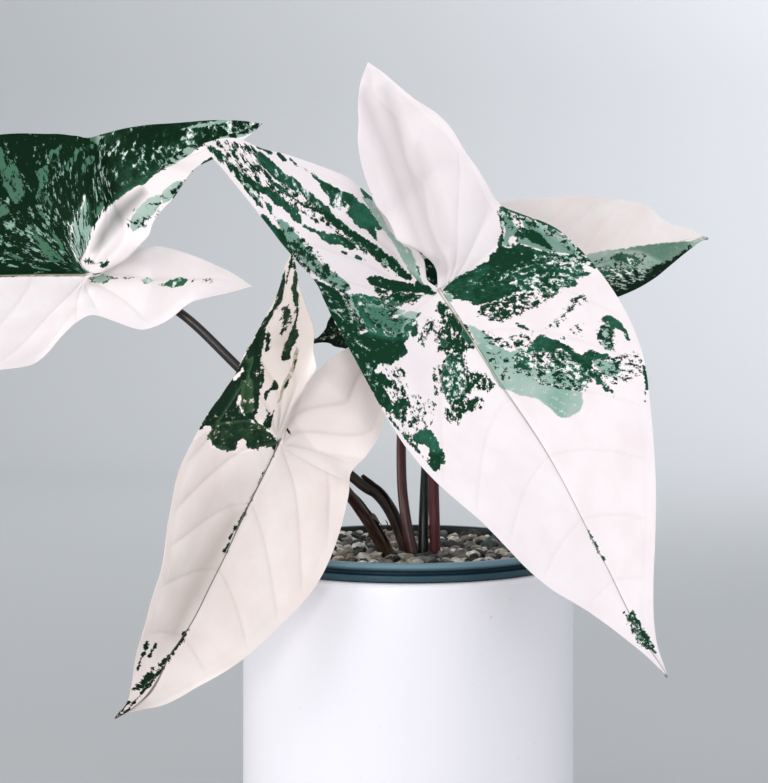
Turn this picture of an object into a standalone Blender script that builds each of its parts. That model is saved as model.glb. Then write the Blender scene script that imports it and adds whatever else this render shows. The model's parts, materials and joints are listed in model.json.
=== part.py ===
"""A potted variegated syngonium: planter, nursery pot, mix, crown, five leaves and loose stones."""
import math
import random

import bmesh
import bpy
import numpy as np
from mathutils import Matrix, Vector, noise

MM = 0.001
GAP = 0.3

# The planter: a straight white cylinder with a rounded lip and a flat solid base, mm
PLANTER_RADIUS = 57.5
PLANTER_HEIGHT = 106.2
PLANTER_WALL = 4.5
PLANTER_FLOOR = 6.0
LIP_ROUND = 1.8

# The nursery pot hangs in the planter by its two-step rim, mm
RIM_RADIUS = 54.6
RIM_TOP = 112.4
RIM_GROOVE = 109.2
POT_TOP_RADIUS = 51.6
POT_BASE_RADIUS = 41.0
POT_BASE = 10.0
POT_WALL = 1.3
DRAIN_HOLES = 8
DRAIN_RING = 27.0
DRAIN_RADIUS = 4.0

# The mix fills the pot to just below the rim, and the crown is planted in it, mm
MIX_TOP = 106.0
CROWN_CENTRE = (1.5, -8.5)
CROWN_RADIUS = 13.5
CROWN_BOTTOM = 80.0

# Loose stones lie on the mix, mm
STONE_COUNT = 38
STONE_SPREAD = 49.0
STONE_SMALL = 2.2
STONE_LARGE = 3.4
STONE_COLOURS = ("E4E1DC", "9A9C9C", "5E5A55", "B7A68D", "75858A", "CFC8BC")

# Leaves: blade thickness in mm, and how finely the outline and the rings between it and
# the petiole point are divided
BLADE_THICKNESS = 0.9
OUTER_STEPS = 17
INNER_STEPS = 9
RINGS = 5

# Where the eye stands in the front view of the plant, mm; leaf places are given as
# (across, up, depth) with across and up measured in that view on the pot's axis
EYE = (-8.4, -650.0, 196.0)

# Half outline of the flat blade in hundredths of its length, from the tip round the broad
# side, the waist and the basal lobe to the sinus; the petiole point is the origin
OUTER_EDGE = ((0, -100), (2.6, -90), (7, -81), (13, -71), (20, -60), (26.5, -48), (31.5, -36),
    (33.5, -25), (33, -14), (30, -3), (25, 6), (22.5, 12), (23.5, 19), (26, 28), (28.5, 37),
    (30, 46), (30, 55), (29, 61))
INNER_EDGE = ((29, 61), (25.5, 56), (20, 49), (14, 42), (9, 34), (5, 25), (2.5, 16), (1.2, 9),
    (0, 4.5))

# Points of the flat blade that are pinned to a place, in the same hundredths; the left
# side mirrors the right one
MIDRIB = ((0, 0), (0, -25), (0, -50), (0, -75), (0, -100))
SINUS = ((0, 4.5),)
SIDE = ((22.5, 12), (30, -3), (33.5, -25), (26.5, -48), (13, -71), (2.6, -90))
LOBE_OUTSIDE = ((26, 28), (30, 46), (29, 61))
LOBE_INSIDE = ((20, 49), (14, 42), (9, 34), (5, 25), (2.5, 16), (1.2, 9))
VEIN = ((13, 27), (21, 44))

# The five leaves as they stand, mm
FRONT_LEAF = {
    "midrib": ((11, 200.5, -35), (32, 168.5, -50), (53, 136, -63), (70.5, 102, -76),
        (91, 65.5, -88)),
    "sinus": ((10, 202.5, -34.5),),
    "right side": ((32, 231, -31), (53, 221.5, -32), (76.5, 192.5, -44), (85, 158, -59),
        (86.5, 114, -74), (86.5, 81.5, -84)),
    "right lobe outside": ((20.5, 248.5, -30), (3, 267, -27), (-14, 280.5, -22)),
    "right lobe inside": ((-18, 263.5, -28), (-16, 244.5, -34), (-10.5, 229.5, -37), (-3.5, 218, -39),
        (6.5, 212, -39), (10, 208, -37)),
    "right vein": ((5.5, 237.5, -32), (-4, 261, -27)),
    "left side": ((-32, 203, -44), (-23, 185.5, -50), (-1.5, 147, -62), (24.5, 121, -73),
        (51, 95.5, -81), (77, 78, -86)),
    "left lobe outside": ((-46.5, 220, -43), (-61.5, 239, -41), (-72, 252, -39)),
    "left lobe inside": ((-57.5, 253, -34), (-43, 248.5, -31), (-20.5, 240, -28), (-5.5, 227.5, -28),
        (2.5, 214.5, -30), (6.5, 207, -33)),
    "left vein": ((-24, 225.5, -36), (-48.5, 241.5, -37)),
}
LOWER_LEAF = {
    "midrib": ((-45, 147, -54), (-57.5, 121.5, -60), (-69.5, 96.5, -66), (-83.5, 72.5, -71),
        (-102.5, 51, -72)),
    "sinus": ((-44.5, 149, -54),),
    "right side": ((-19.5, 137.5, -50), (-21, 128, -55), (-28.5, 104, -62), (-44, 84, -67),
        (-66, 66, -71), (-87.5, 54.5, -72)),
    "right lobe outside": ((-10, 150.5, -45), (-1, 172, -35), (2.5, 189.5, -30)),
    "right lobe inside": ((-10.5, 186.5, -35), (-19.5, 181.5, -39), (-26, 175, -42), (-32, 168.5, -45),
        (-38, 161, -49), (-42, 154, -52)),
    "right vein": ((-21.5, 161.5, -44),),
    "left side": ((-60.5, 171, -50), (-69.5, 158, -56), (-80, 137.5, -66), (-84.5, 111.5, -71),
        (-91.5, 84.5, -74), (-97, 60.5, -73)),
    "left lobe outside": ((-53, 185.5, -50), (-44, 205, -52), (-40.5, 213.5, -53)),
    "left lobe inside": ((-38, 203, -57), (-35.5, 193.5, -60), (-33, 185, -61), (-32, 174, -60),
        (-37, 164.5, -58), (-42, 156, -56)),
    "left vein": ((-44, 179.5, -52),),
}
LEFT_LEAF = {
    "midrib": ((-113, 206, -15), (-150, 205.5, -22), (-183, 203, -30),
        (-214.5, 198, -40), (-244.5, 189.5, -52)),
    "sinus": ((-111, 206.5, -15.5),),
    "right side": ((-110.5, 192, -18), (-121, 185.5, -22), (-143, 174, -30), (-178, 170, -40),
        (-211, 176, -48), (-234.5, 185.5, -52)),
    "right lobe outside": ((-95, 187, -20), (-73, 199, -19), (-54.5, 202, -17)),
    "right lobe inside": ((-64, 208, -15), (-74.5, 212.5, -14), (-87, 216, -13), (-96.5, 214.5, -13),
        (-103, 209.5, -13.5), (-108.5, 206, -14.5)),
    "right vein": ((-90.5, 204.5, -16),),
    "left side": ((-112, 254, -11), (-125.5, 255.5, -12), (-151.5, 254, -20),
        (-186.5, 244.5, -28), (-214.5, 224.5, -38), (-234.5, 200.5, -48)),
    "left lobe outside": ((-97.5, 257.5, -9), (-71, 260, -8), (-51, 259, -6)),
    "left lobe inside": ((-67, 247, -17), (-76.5, 241.5, -21), (-83, 232, -23), (-90.5, 220, -23),
        (-98.5, 211.5, -20), (-107.5, 207, -17)),
    "left vein": ((-101.5, 233, -12), (-80.5, 247, -12)),
}
RIGHT_LEAF = {
    "midrib": ((19, 200.5, 30), (40.5, 204, 34), (62.5, 209, 39), (84, 214, 45),
        (105, 219, 50)),
    "sinus": ((15.5, 200.5, 29),),
    "right side": ((11, 224.5, 26), (24.5, 229.5, 28), (48, 233, 32), (68, 233, 39),
        (85.5, 229, 46), (98.5, 222, 49)),
    "right lobe outside": ((-2, 226.5, 24), (-14.5, 224.5, 23), (-24.5, 220, 22)),
    "right lobe inside": (None, (-14, 214, 25), None, (1.5, 206.5, 27)),
    "left side": ((13.5, 185, 25), (28.5, 185.5, 27), (48, 191.5, 30), (67, 198, 36),
        (84, 207.5, 43), (98, 217, 49)),
    "left lobe outside": ((5, 179.5, 23), (-4, 175.5, 22), (-14, 175.5, 21)),
    "left lobe inside": (None, (-7, 187.5, 24), None, (3.5, 196, 27)),
}
BACK_LEAF = {
    "midrib": ((1.5, 197, 14), (-7.5, 193.5, 8), (-16.5, 189.5, 0), (-25.5, 185.5, -9),
        (-34.5, 182, -18)),
    "sinus": ((3.5, 198, 14.5),),
    "right side": ((7.5, 187.5, 13), (2.5, 183, 10), (-5.5, 179.5, 4), (-16, 179.5, -3),
        (-25.5, 181, -10)),
    "right lobe outside": ((15.5, 188, 15), (22.5, 191, 17), (28.5, 195, 18)),
    "right lobe inside": (None, (19.5, 197, 17), None, (10.5, 197.5, 16)),
    "left side": ((0.5, 210.5, 12), (-3.5, 208.5, 9), (-12.5, 205, 4), (-22, 198, -3),
        (-28, 189.5, -9)),
    "left lobe outside": ((7, 214.5, 13), (14, 218, 15), (20.5, 218, 18)),
    "left lobe inside": (None, (15.5, 208.5, 17), None, (9, 202, 16)),
}

# Petioles: places along each one above its foot on the crown, mm
FRONT_PETIOLE = ((9.3, -8.2, 109.0), (9.0, -8.8, 122.0), (8.6, -10.5, 142.0), (8.8, -17.0, 164.0),
    (9.8, -25.5, 186.0))
RIGHT_PETIOLE = ((5.2, -6.9, 109.0), (5.4, -5.6, 122.0), (6.6, 1.0, 142.0), (9.5, 14.0, 160.0),
    (13.0, 30.0, 177.0), (17.0, 39.0, 191.0))
BACK_PETIOLE = ((1.7, -10.0, 109.0), (-0.4, -9.2, 119.0), (-2.0, -7.2, 131.0), (-2.4, -3.5, 144.0),
    (-2.0, 3.0, 158.0), (-1.0, 12.0, 174.0), (0.2, 19.5, 187.0))
LEFT_PETIOLE = ((-1.0, -4.2, 109.0), (-2.6, -4.4, 115.5), (-6.4, -5.0, 124.0), (-11.0, -6.0, 130.0),
    (-17.5, -7.5, 134.5), (-38.0, -9.5, 153.5), (-58.5, -10.5, 174.0), (-79.0, -9.0, 193.0),
    (-98.0, -6.0, 201.5))
LOWER_PETIOLE = ((-7.0, -12.8, 109.0), (-10.0, -15.5, 115.5), (-15.0, -20.5, 124.0),
    (-21.0, -26.5, 133.0), (-28.0, -33.0, 141.5), (-36.5, -42.0, 148.0))
PETIOLE_STEPS = 3
PETIOLE_SIDES = 10
BLADE_GAP = 0.6

# Sheaths: thickness in mm, strips across the channel, and its half angle at the foot and
# at the free point in degrees
SHEATH_THICKNESS = 0.7
SHEATH_STRIPS = 8
SHEATH_OPEN = 105
SHEATH_POINT = 20

# How softly the bent plate holds to its pinned places
PLATE_SLACK = 0.5

# Room kept between the stones and the middle of a petiole, mm
FOOT_CLEARANCE = 2.6

bpy.ops.object.select_all(action="DESELECT")
for leftover in list(bpy.data.objects):
    bpy.data.objects.remove(leftover)


def material(name, colour, roughness, metallic=0.0):
    """A plain material from a six-digit sRGB colour."""
    finish = bpy.data.materials.new(name)
    finish.use_nodes = True
    channels = [int(colour[i:i + 2], 16) / 255 for i in (0, 2, 4)]
    linear = [c / 12.92 if c <= 0.04045 else ((c + 0.055) / 1.055) ** 2.4 for c in channels]
    shader = finish.node_tree.nodes["Principled BSDF"]
    shader.inputs["Base Color"].default_value = (*linear, 1.0)
    shader.inputs["Roughness"].default_value = roughness
    shader.inputs["Metallic"].default_value = metallic
    return finish


def add_object(name, mesh, finish, location=(0.0, 0.0, 0.0)):
    """Link a mesh or curve as a named object; location in mm."""
    thing = bpy.data.objects.new(name, mesh)
    thing.location = Vector(location) * MM
    if finish is not None:
        mesh.materials.append(finish)
    bpy.context.scene.collection.objects.link(thing)
    return thing


def mesh_from(name, build):
    """Turn a finished bmesh into a smooth-shaded mesh."""
    mesh = bpy.data.meshes.new(name)
    build.to_mesh(mesh)
    build.free()
    mesh.shade_smooth()
    return mesh


def turned(name, profile, finish, steps=56, location=(0.0, 0.0, 0.0)):
    """A round solid: the profile (radius, height) in mm is turned about its axis."""
    build = bmesh.new()
    verts = [build.verts.new((r * MM, 0.0, z * MM)) for r, z in profile]
    for low, high in zip(verts, verts[1:]):
        build.edges.new((low, high))
    thing = add_object(name, mesh_from(name, build), finish, location)
    screw = thing.modifiers.new("turn", "SCREW")
    screw.steps = steps
    screw.render_steps = steps
    screw.use_merge_vertices = True
    screw.merge_threshold = 0.00001
    screw.use_smooth_shade = True
    return thing


def rounded_corner(centre_r, centre_z, radius, start, end, steps=4):
    """Profile points round a quarter of a lip, angles in degrees."""
    points = []
    for i in range(steps + 1):
        angle = math.radians(start + (end - start) * i / steps)
        points.append((centre_r + radius * math.cos(angle), centre_z + radius * math.sin(angle)))
    return points


def cut(thing, cutter):
    """Subtract the cutter, which itself is not part of the object."""
    cutter.hide_render = True
    cutter.display_type = "WIRE"
    boolean = thing.modifiers.new("cut", "BOOLEAN")
    boolean.operation = "DIFFERENCE"
    boolean.solver = "EXACT"
    boolean.object = cutter


def smooth_path(points, steps=PETIOLE_STEPS):
    """A Catmull-Rom run through the points, each gap in equal steps."""
    ends = [points[0] * 2 - points[1], *points, points[-1] * 2 - points[-2]]
    path = []
    for a, b, c, d in zip(ends, ends[1:], ends[2:], ends[3:]):
        for i in range(steps):
            t = i / steps
            path.append(0.5 * (2 * b + (c - a) * t + (2 * a - 5 * b + 4 * c - d) * t * t
                + (3 * b - a - 3 * c + d) * t ** 3))
    path.append(points[-1])
    return path


def edge_run(points, count):
    """Points spread evenly along a smooth line through the given outline points."""
    path = smooth_path([Vector((u, v, 0.0)) for u, v in points], 8)
    reach = [0.0]
    for a, b in zip(path, path[1:]):
        reach.append(reach[-1] + (b - a).length)
    wanted = np.linspace(0.0, reach[-1], count + 1)
    across = np.interp(wanted, reach, [p.x for p in path])
    along = np.interp(wanted, reach, [p.y for p in path])
    return list(zip(across, along))


def blade_outline():
    """The closed flat outline, once round from the tip."""
    right = edge_run(OUTER_EDGE, OUTER_STEPS)[:-1] + edge_run(INNER_EDGE, INNER_STEPS)
    left = [(-u, v) for u, v in reversed(right[1:-1])]
    return right + left


def stand(across, up, depth):
    """The place in mm of a point seen at (across, up), at its depth along the sight line."""
    scale = (depth - EYE[1]) / -EYE[1]
    return (EYE[0] + (across - EYE[0]) * scale, depth, EYE[2] + (up - EYE[2]) * scale)


def pinned_points(leaf):
    """Flat points of one leaf that have a place, and these places."""
    groups = (("midrib", MIDRIB, 1), ("sinus", SINUS, 1), ("right side", SIDE, 1),
        ("right lobe outside", LOBE_OUTSIDE, 1), ("right lobe inside", LOBE_INSIDE, 1),
        ("right vein", VEIN, 1), ("left side", SIDE, -1), ("left lobe outside", LOBE_OUTSIDE, -1),
        ("left lobe inside", LOBE_INSIDE, -1), ("left vein", VEIN, -1))
    flat = []
    places = []
    for key, marks, hand in groups:
        for (u, v), seen in zip(marks, leaf.get(key, ())):
            if seen is not None:
                flat.append((u * hand, v))
                places.append(stand(*seen))
    return np.array(flat, float), np.array(places, float)


def plate_kernel(a, b):
    """Bending kernel of a thin plate between two sets of flat points."""
    square = ((a[:, None, :] - b[None, :, :]) ** 2).sum(2)
    return 0.5 * square * np.log(square + 1e-9)


def bend_blade(leaf):
    """A function that bends flat blade points like a thin plate through the pinned places."""
    flat, places = pinned_points(leaf)
    count = len(flat)
    plane = np.hstack([np.ones((count, 1)), flat])
    system = np.zeros((count + 3, count + 3))
    system[:count, :count] = plate_kernel(flat, flat) + np.eye(count) * PLATE_SLACK
    system[:count, count:] = plane
    system[count:, :count] = plane.T
    weights = np.linalg.solve(system, np.vstack([places, np.zeros((3, 3))]))

    def bend(points):
        points = np.array(points, float)
        rows = np.hstack([plate_kernel(points, flat), np.ones((len(points), 1)), points])
        return rows @ weights

    return bend


def blade(name, leaf, finish):
    """One leaf blade: rings between the petiole point and the outline, bent, then thickened."""
    outline = np.array(blade_outline())
    rings = [outline * (i / RINGS) for i in range(1, RINGS + 1)]
    places = bend_blade(leaf)(np.vstack([[[0.0, 0.0]], *rings])) * MM
    build = bmesh.new()
    verts = [build.verts.new(place) for place in places]
    count = len(outline)
    for i in range(count):
        following = (i + 1) % count
        build.faces.new((verts[0], verts[1 + i], verts[1 + following]))
        for ring in range(RINGS - 1):
            inner = 1 + ring * count
            outer = inner + count
            build.faces.new((verts[inner + i], verts[outer + i], verts[outer + following],
                verts[inner + following]))
    thing = add_object(name, mesh_from(name, build), finish)
    solid = thing.modifiers.new("thickness", "SOLIDIFY")
    solid.thickness = BLADE_THICKNESS * MM
    solid.offset = -1.0
    return thing


def blade_back(leaf):
    """Where the petiole meets the underside, just ahead of the sinus, and the way off it."""
    centre, right, left, ahead = bend_blade(leaf)([(0, -2.5), (4, -4), (-4, -4), (0, -9)])
    face = Vector(right - left).cross(Vector(centre - ahead)).normalized()
    return Vector(centre) - face * BLADE_THICKNESS, -face


def petiole_points(places, leaf):
    """The full run of a petiole: foot, places, then square on to the back of the blade."""
    top, away = blade_back(leaf)
    foot = Vector((*places[0][:2], MIX_TOP + GAP))
    points = [Vector(place) for place in places]
    return [foot, *points, top + away * 4.5, top + away * BLADE_GAP]


def petiole_path(places, leaf):
    """The smooth run of a petiole, with a straight start on the crown and a straight end."""
    points = petiole_points(places, leaf)
    return [points[0], *smooth_path(points[1:-1]), points[-1]]


def petiole(name, places, leaf, foot_radius, top_radius, finish):
    """A round stalk swept along its path, closed at both ends."""
    path = petiole_path(places, leaf)
    curve = bpy.data.curves.new(name, "CURVE")
    curve.dimensions = "3D"
    curve.bevel_depth = MM
    curve.bevel_resolution = PETIOLE_SIDES // 2 - 2
    curve.use_fill_caps = True
    line = curve.splines.new("POLY")
    line.points.add(len(path) - 1)
    for i, place in enumerate(path):
        share = i / (len(path) - 1)
        line.points[i].co = (*(place * MM), 1.0)
        line.points[i].radius = foot_radius + (top_radius - foot_radius) * share ** 0.8
    line.use_smooth = True
    return add_object(name, curve, finish)


def sheath(name, places, leaf, inner_radius, first, last, opening, finish):
    """The open leaf base that clasps a petiole: a channel that narrows to a free point."""
    path = petiole_path(places, leaf)[first:last]
    open_way = Vector(opening).normalized()
    build = bmesh.new()
    rows = []
    for i, place in enumerate(path):
        ahead = (path[min(i + 1, len(path) - 1)] - path[max(i - 1, 0)]).normalized()
        side = open_way.cross(ahead).normalized()
        front = ahead.cross(side)
        share = i / (len(path) - 1)
        reach = math.radians(SHEATH_OPEN + (SHEATH_POINT - SHEATH_OPEN) * share ** 1.6)
        row = []
        for j in range(SHEATH_STRIPS + 1):
            angle = math.pi + reach * (2 * j / SHEATH_STRIPS - 1)
            row.append(build.verts.new((place + (front * math.cos(angle)
                + side * math.sin(angle)) * inner_radius) * MM))
        rows.append(row)
    for low, high in zip(rows, rows[1:]):
        for j in range(SHEATH_STRIPS):
            build.faces.new((low[j], low[j + 1], high[j + 1], high[j]))
    thing = add_object(name, mesh_from(name, build), finish)
    solid = thing.modifiers.new("thickness", "SOLIDIFY")
    solid.thickness = SHEATH_THICKNESS * MM
    solid.offset = -1.0
    return thing


def stone_mesh(name, half, rng):
    """A worn stone: a ball pulled out of round, with its longest way level; half sizes in mm."""
    build = bmesh.new()
    bmesh.ops.create_icosphere(build, subdivisions=2, radius=1.0)
    shift = Vector((rng.uniform(0, 50), rng.uniform(0, 50), rng.uniform(0, 50)))
    for vert in build.verts:
        swell = 1.0 + 0.22 * noise.noise(vert.co * 1.1 + shift)
        vert.co = Vector([vert.co[k] * half[k] * swell * MM for k in range(3)])
    return mesh_from(name, build)


def stone_places(rng):
    """Middles and half sizes of the stones: apart from each other, the petioles and the pot."""
    feet = [places[0][:2] for places in
        (FRONT_PETIOLE, RIGHT_PETIOLE, BACK_PETIOLE, LEFT_PETIOLE, LOWER_PETIOLE)]
    taken = [(Vector(foot), FOOT_CLEARANCE) for foot in feet]
    placed = []
    while len(placed) < STONE_COUNT:
        size = rng.uniform(STONE_SMALL, STONE_LARGE)
        reach = (STONE_SPREAD - size) * math.sqrt(rng.random())
        angle = rng.uniform(0, 2 * math.pi)
        middle = Vector((reach * math.cos(angle), reach * math.sin(angle)))
        if all((middle - other).length > size + room + 0.6 for other, room in taken):
            taken.append((middle, size))
            placed.append((middle, size))
    return placed


def build_pots():
    """The planter, the nursery pot with its drain holes, the mix and the crown; profiles in mm."""
    glaze = material("white_glazed_ceramic", "F1EFF4", 0.25)
    plastic = material("grey_teal_plastic", "5C7F8E", 0.4)
    soil = material("potting_mix", "3A2E26", 0.95)
    woody = material("crown_tissue", "5A4A34", 0.8)
    inner = PLANTER_RADIUS - PLANTER_WALL
    lip = rounded_corner(PLANTER_RADIUS - LIP_ROUND, PLANTER_HEIGHT - LIP_ROUND, LIP_ROUND, 90, 0)
    turned("planter", [(0, PLANTER_FLOOR), (inner - 2, PLANTER_FLOOR), (inner, PLANTER_FLOOR + 2),
        (inner, PLANTER_HEIGHT - 0.5), (inner + 0.5, PLANTER_HEIGHT), *lip,
        (PLANTER_RADIUS, 1.5), (PLANTER_RADIUS - 1.5, 0), (0, 0)], glaze)

    rest = PLANTER_HEIGHT + GAP
    body_top = PLANTER_HEIGHT - 3
    pot = turned("nursery_pot", [(0, POT_BASE + 2), (POT_BASE_RADIUS - POT_WALL - 1, POT_BASE + 2),
        (POT_BASE_RADIUS - POT_WALL, POT_BASE + 3), (POT_TOP_RADIUS - POT_WALL, body_top),
        (POT_TOP_RADIUS - POT_WALL, RIM_TOP - 0.8), (POT_TOP_RADIUS - 0.3, RIM_TOP),
        (RIM_RADIUS - 1.4, RIM_TOP), (RIM_RADIUS - 0.5, RIM_TOP - 0.6),
        (RIM_RADIUS - 0.3, RIM_GROOVE + 0.9), (RIM_RADIUS - 1.0, RIM_GROOVE + 0.2),
        (RIM_RADIUS - 1.0, RIM_GROOVE - 0.2), (RIM_RADIUS, RIM_GROOVE - 0.7),
        (RIM_RADIUS, rest), (POT_TOP_RADIUS + 0.4, rest), (POT_TOP_RADIUS, body_top),
        (POT_BASE_RADIUS, POT_BASE), (0, POT_BASE)], plastic)
    holes = bmesh.new()
    for i in range(DRAIN_HOLES):
        angle = 2 * math.pi * i / DRAIN_HOLES
        middle = Vector((math.cos(angle), math.sin(angle), 0.0)) * DRAIN_RING
        middle.z = POT_BASE + 1
        bmesh.ops.create_cone(holes, cap_ends=True, segments=16, radius1=DRAIN_RADIUS * MM,
            radius2=DRAIN_RADIUS * MM, depth=6 * MM, matrix=Matrix.Translation(middle * MM))
    cut(pot, add_object("drain_cutter", mesh_from("drain_cutter", holes), None))

    fill = POT_TOP_RADIUS - POT_WALL - GAP
    narrow = POT_BASE_RADIUS - POT_WALL - GAP
    mix = turned("potting_mix", [(0, MIX_TOP), (fill - 1.5, MIX_TOP), (fill - 0.3, MIX_TOP - 1),
        (fill - 0.3, body_top), (narrow, POT_BASE + 3.2), (narrow - 1, POT_BASE + 2 + GAP),
        (0, POT_BASE + 2 + GAP)], soil)
    cut(mix, turned("crown_cutter", [(0, MIX_TOP + 4), (CROWN_RADIUS + GAP, MIX_TOP + 4),
        (CROWN_RADIUS + GAP, MIX_TOP - 6), (CROWN_RADIUS * 0.6 + GAP, CROWN_BOTTOM - GAP),
        (0, CROWN_BOTTOM - GAP)], None, 28, (*CROWN_CENTRE, 0)))
    turned("crown", [(0, MIX_TOP), (CROWN_RADIUS - 1, MIX_TOP), (CROWN_RADIUS, MIX_TOP - 1),
        (CROWN_RADIUS, MIX_TOP - 6), (CROWN_RADIUS * 0.6, CROWN_BOTTOM + 1),
        (CROWN_RADIUS * 0.6 - 1, CROWN_BOTTOM), (0, CROWN_BOTTOM)], woody, 28, (*CROWN_CENTRE, 0))


def build_leaves():
    """The five petioles, their blades and the two sheaths."""
    wine = material("dark_petiole", "4A2A28", 0.45)
    dusky = material("green_black_petiole", "26322A", 0.45)
    leaves = (
        ("front", FRONT_LEAF, FRONT_PETIOLE, 2.0, 1.6, "F0E8E8", wine),
        ("lower", LOWER_LEAF, LOWER_PETIOLE, 2.3, 1.5, "E8DAD3", wine),
        ("left", LEFT_LEAF, LEFT_PETIOLE, 2.2, 1.4, "3E7A5E", wine),
        ("right", RIGHT_LEAF, RIGHT_PETIOLE, 1.9, 1.4, "DED3CC", dusky),
        ("back", BACK_LEAF, BACK_PETIOLE, 2.0, 1.4, "1C4A36", wine))
    for name, leaf, places, foot, top, colour, stalk in leaves:
        petiole(name + "_petiole", places, leaf, foot, top, stalk)
        blade(name + "_blade", leaf, material(name + "_blade_green_white", colour, 0.45))
    sheath("left_sheath", LEFT_PETIOLE, LEFT_LEAF, 2.8, 3, 13, (-0.7, -0.6, -0.6), dusky)
    sheath("lower_sheath", LOWER_PETIOLE, LOWER_LEAF, 2.8, 2, 9, (-0.5, -1.0, 0.2), dusky)


def build_stones():
    """Loose stones on the mix, one object each."""
    rng = random.Random(23)
    finishes = [material(f"stone_{i + 1}", colour, 0.8) for i, colour in enumerate(STONE_COLOURS)]
    for i, (middle, size) in enumerate(stone_places(rng)):
        half = (size, size * rng.uniform(0.7, 0.95), size * rng.uniform(0.6, 0.85))
        name = f"stone_{i + 1:02d}"
        mesh = stone_mesh(name, half, rng)
        lowest = min(vert.co.z for vert in mesh.vertices) / MM
        spot = (middle.x, middle.y, MIX_TOP + GAP - lowest)
        stone = add_object(name, mesh, finishes[rng.randrange(len(finishes))], spot)
        stone.rotation_euler.z = rng.uniform(0, math.pi)


build_pots()
build_leaves()
build_stones()
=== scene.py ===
# %% [markdown]
# # A variegated syngonium in its pot
#
# The plant stands in a grey-teal nursery pot, and the nursery pot hangs by its rim in a plain
# white planter. Five arrowhead leaves rise from a crown under loose gravel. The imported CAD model
# is the fixed frame: every piece made here takes its place and size from it and rides on its one
# body, and all but the small gravel and a dry scrap stand for one of its nodes. The work goes
# from the pot up to the leaves, because the leaves carry most of the picture.

# %% Load the frame
import json
import math
import random

import bpy
import numpy as np
from mathutils import Euler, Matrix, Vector, noise


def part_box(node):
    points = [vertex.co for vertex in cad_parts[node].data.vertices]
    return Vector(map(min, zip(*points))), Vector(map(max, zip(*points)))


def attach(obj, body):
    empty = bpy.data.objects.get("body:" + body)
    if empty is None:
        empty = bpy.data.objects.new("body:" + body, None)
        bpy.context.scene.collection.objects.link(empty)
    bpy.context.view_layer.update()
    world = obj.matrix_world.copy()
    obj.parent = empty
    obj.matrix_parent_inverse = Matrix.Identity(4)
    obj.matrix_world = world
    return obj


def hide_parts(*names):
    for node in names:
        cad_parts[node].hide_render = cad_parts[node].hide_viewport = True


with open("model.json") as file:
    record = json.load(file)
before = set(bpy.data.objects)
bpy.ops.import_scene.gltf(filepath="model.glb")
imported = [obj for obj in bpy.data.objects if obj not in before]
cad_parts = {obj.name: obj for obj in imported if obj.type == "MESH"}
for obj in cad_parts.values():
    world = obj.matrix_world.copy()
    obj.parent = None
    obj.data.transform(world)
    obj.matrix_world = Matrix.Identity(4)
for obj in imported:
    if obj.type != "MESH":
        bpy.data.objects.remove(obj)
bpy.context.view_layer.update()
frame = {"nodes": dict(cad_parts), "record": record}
bpy.ops.object.select_all(action="DESELECT")
print("nodes in the frame:", len(frame["nodes"]))

# %% [markdown]
# ## Units, colours and nodes
#
# Everything is modelled in metres, but leaves and pots are easier to think of in millimetres, so
# one constant converts. Colours are picked as sRGB hex values, the way a colour picker shows
# them, and the shader wants linear light, so one function converts those. Another adds a shader
# node with its settings and links. A finish is then built like paint, in layers: a colour lies
# over the one before it wherever some value, such as a noise or a height, is on one side of a mark.

# %% Units, colours and nodes
MM = 0.001


def linear(colour):
    """Linear light values of a six-digit sRGB colour, with full alpha."""
    channels = [int(colour[i:i + 2], 16) / 255 for i in (0, 2, 4)]
    return (*[c / 12.92 if c <= 0.04045 else ((c + 0.055) / 1.055) ** 2.4 for c in channels], 1.0)


def add_node(tree, kind, inputs, output=0, **settings):
    """Add a shader node, set its properties, set or link its inputs, and give one output."""
    new = tree.nodes.new("ShaderNode" + kind)
    for setting, value in settings.items():
        setattr(new, setting, value)
    for socket, value in inputs.items():
        if isinstance(value, bpy.types.NodeSocket):
            tree.links.new(value, new.inputs[socket])
        else:
            new.inputs[socket].default_value = value
    return new.outputs[output]


# A Mix node keeps its colour sockets after its number and vector sockets
MIX_FACTOR, MIX_A, MIX_B, MIX_COLOUR = 0, 6, 7, 2


def lay_over(tree, tone, colour, value, low=0.0, high=1.0, most=1.0):
    """Lay a colour over a tone: none of it where value is at low, and the most where at high."""
    cover = add_node(tree, "MapRange", {"Value": value, "From Min": low, "From Max": high, "To Max": most})
    return add_node(tree, "Mix", {MIX_FACTOR: cover, MIX_A: tone, MIX_B: colour}, MIX_COLOUR,
        data_type="RGBA")


def new_finish(name, **values):
    """A new material, its node tree and its shader, with plain values set on the shader."""
    finish = bpy.data.materials.new(name)
    finish.use_nodes = True
    shader = finish.node_tree.nodes["Principled BSDF"]
    for socket, value in values.items():
        shader.inputs[socket.replace("_", " ")].default_value = value
    return finish, finish.node_tree, shader


def cover_with(tree, shader, tone, relief, strength, depth):
    """Give a shader its colour, and a bump from a relief, as deep as depth in mm."""
    tree.links.new(tone, shader.inputs["Base Color"])
    bump = add_node(tree, "Bump", {"Strength": strength, "Distance": depth * MM, "Height": relief})
    tree.links.new(bump, shader.inputs["Normal"])


def dress(piece, finish):
    """Give a piece one finish in place of those that it had."""
    piece.data.materials.clear()
    piece.data.materials.append(finish)


print("white is", [round(c, 3) for c in linear("F1EFF4")])

# %% [markdown]
# ## Raising round things from a circle
#
# The planter and the nursery pot are round. By hand, such a shape starts as a filled circle: its
# face is extruded, lifted and scaled again and again until the rings have followed the whole
# profile, up the outside, over the lip and down the inside. A lathe modifier would give the same
# surface, but the extruded rings make it easy to put more of them where a lip curves.

# %% Round shapes
AROUND = 192


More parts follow.
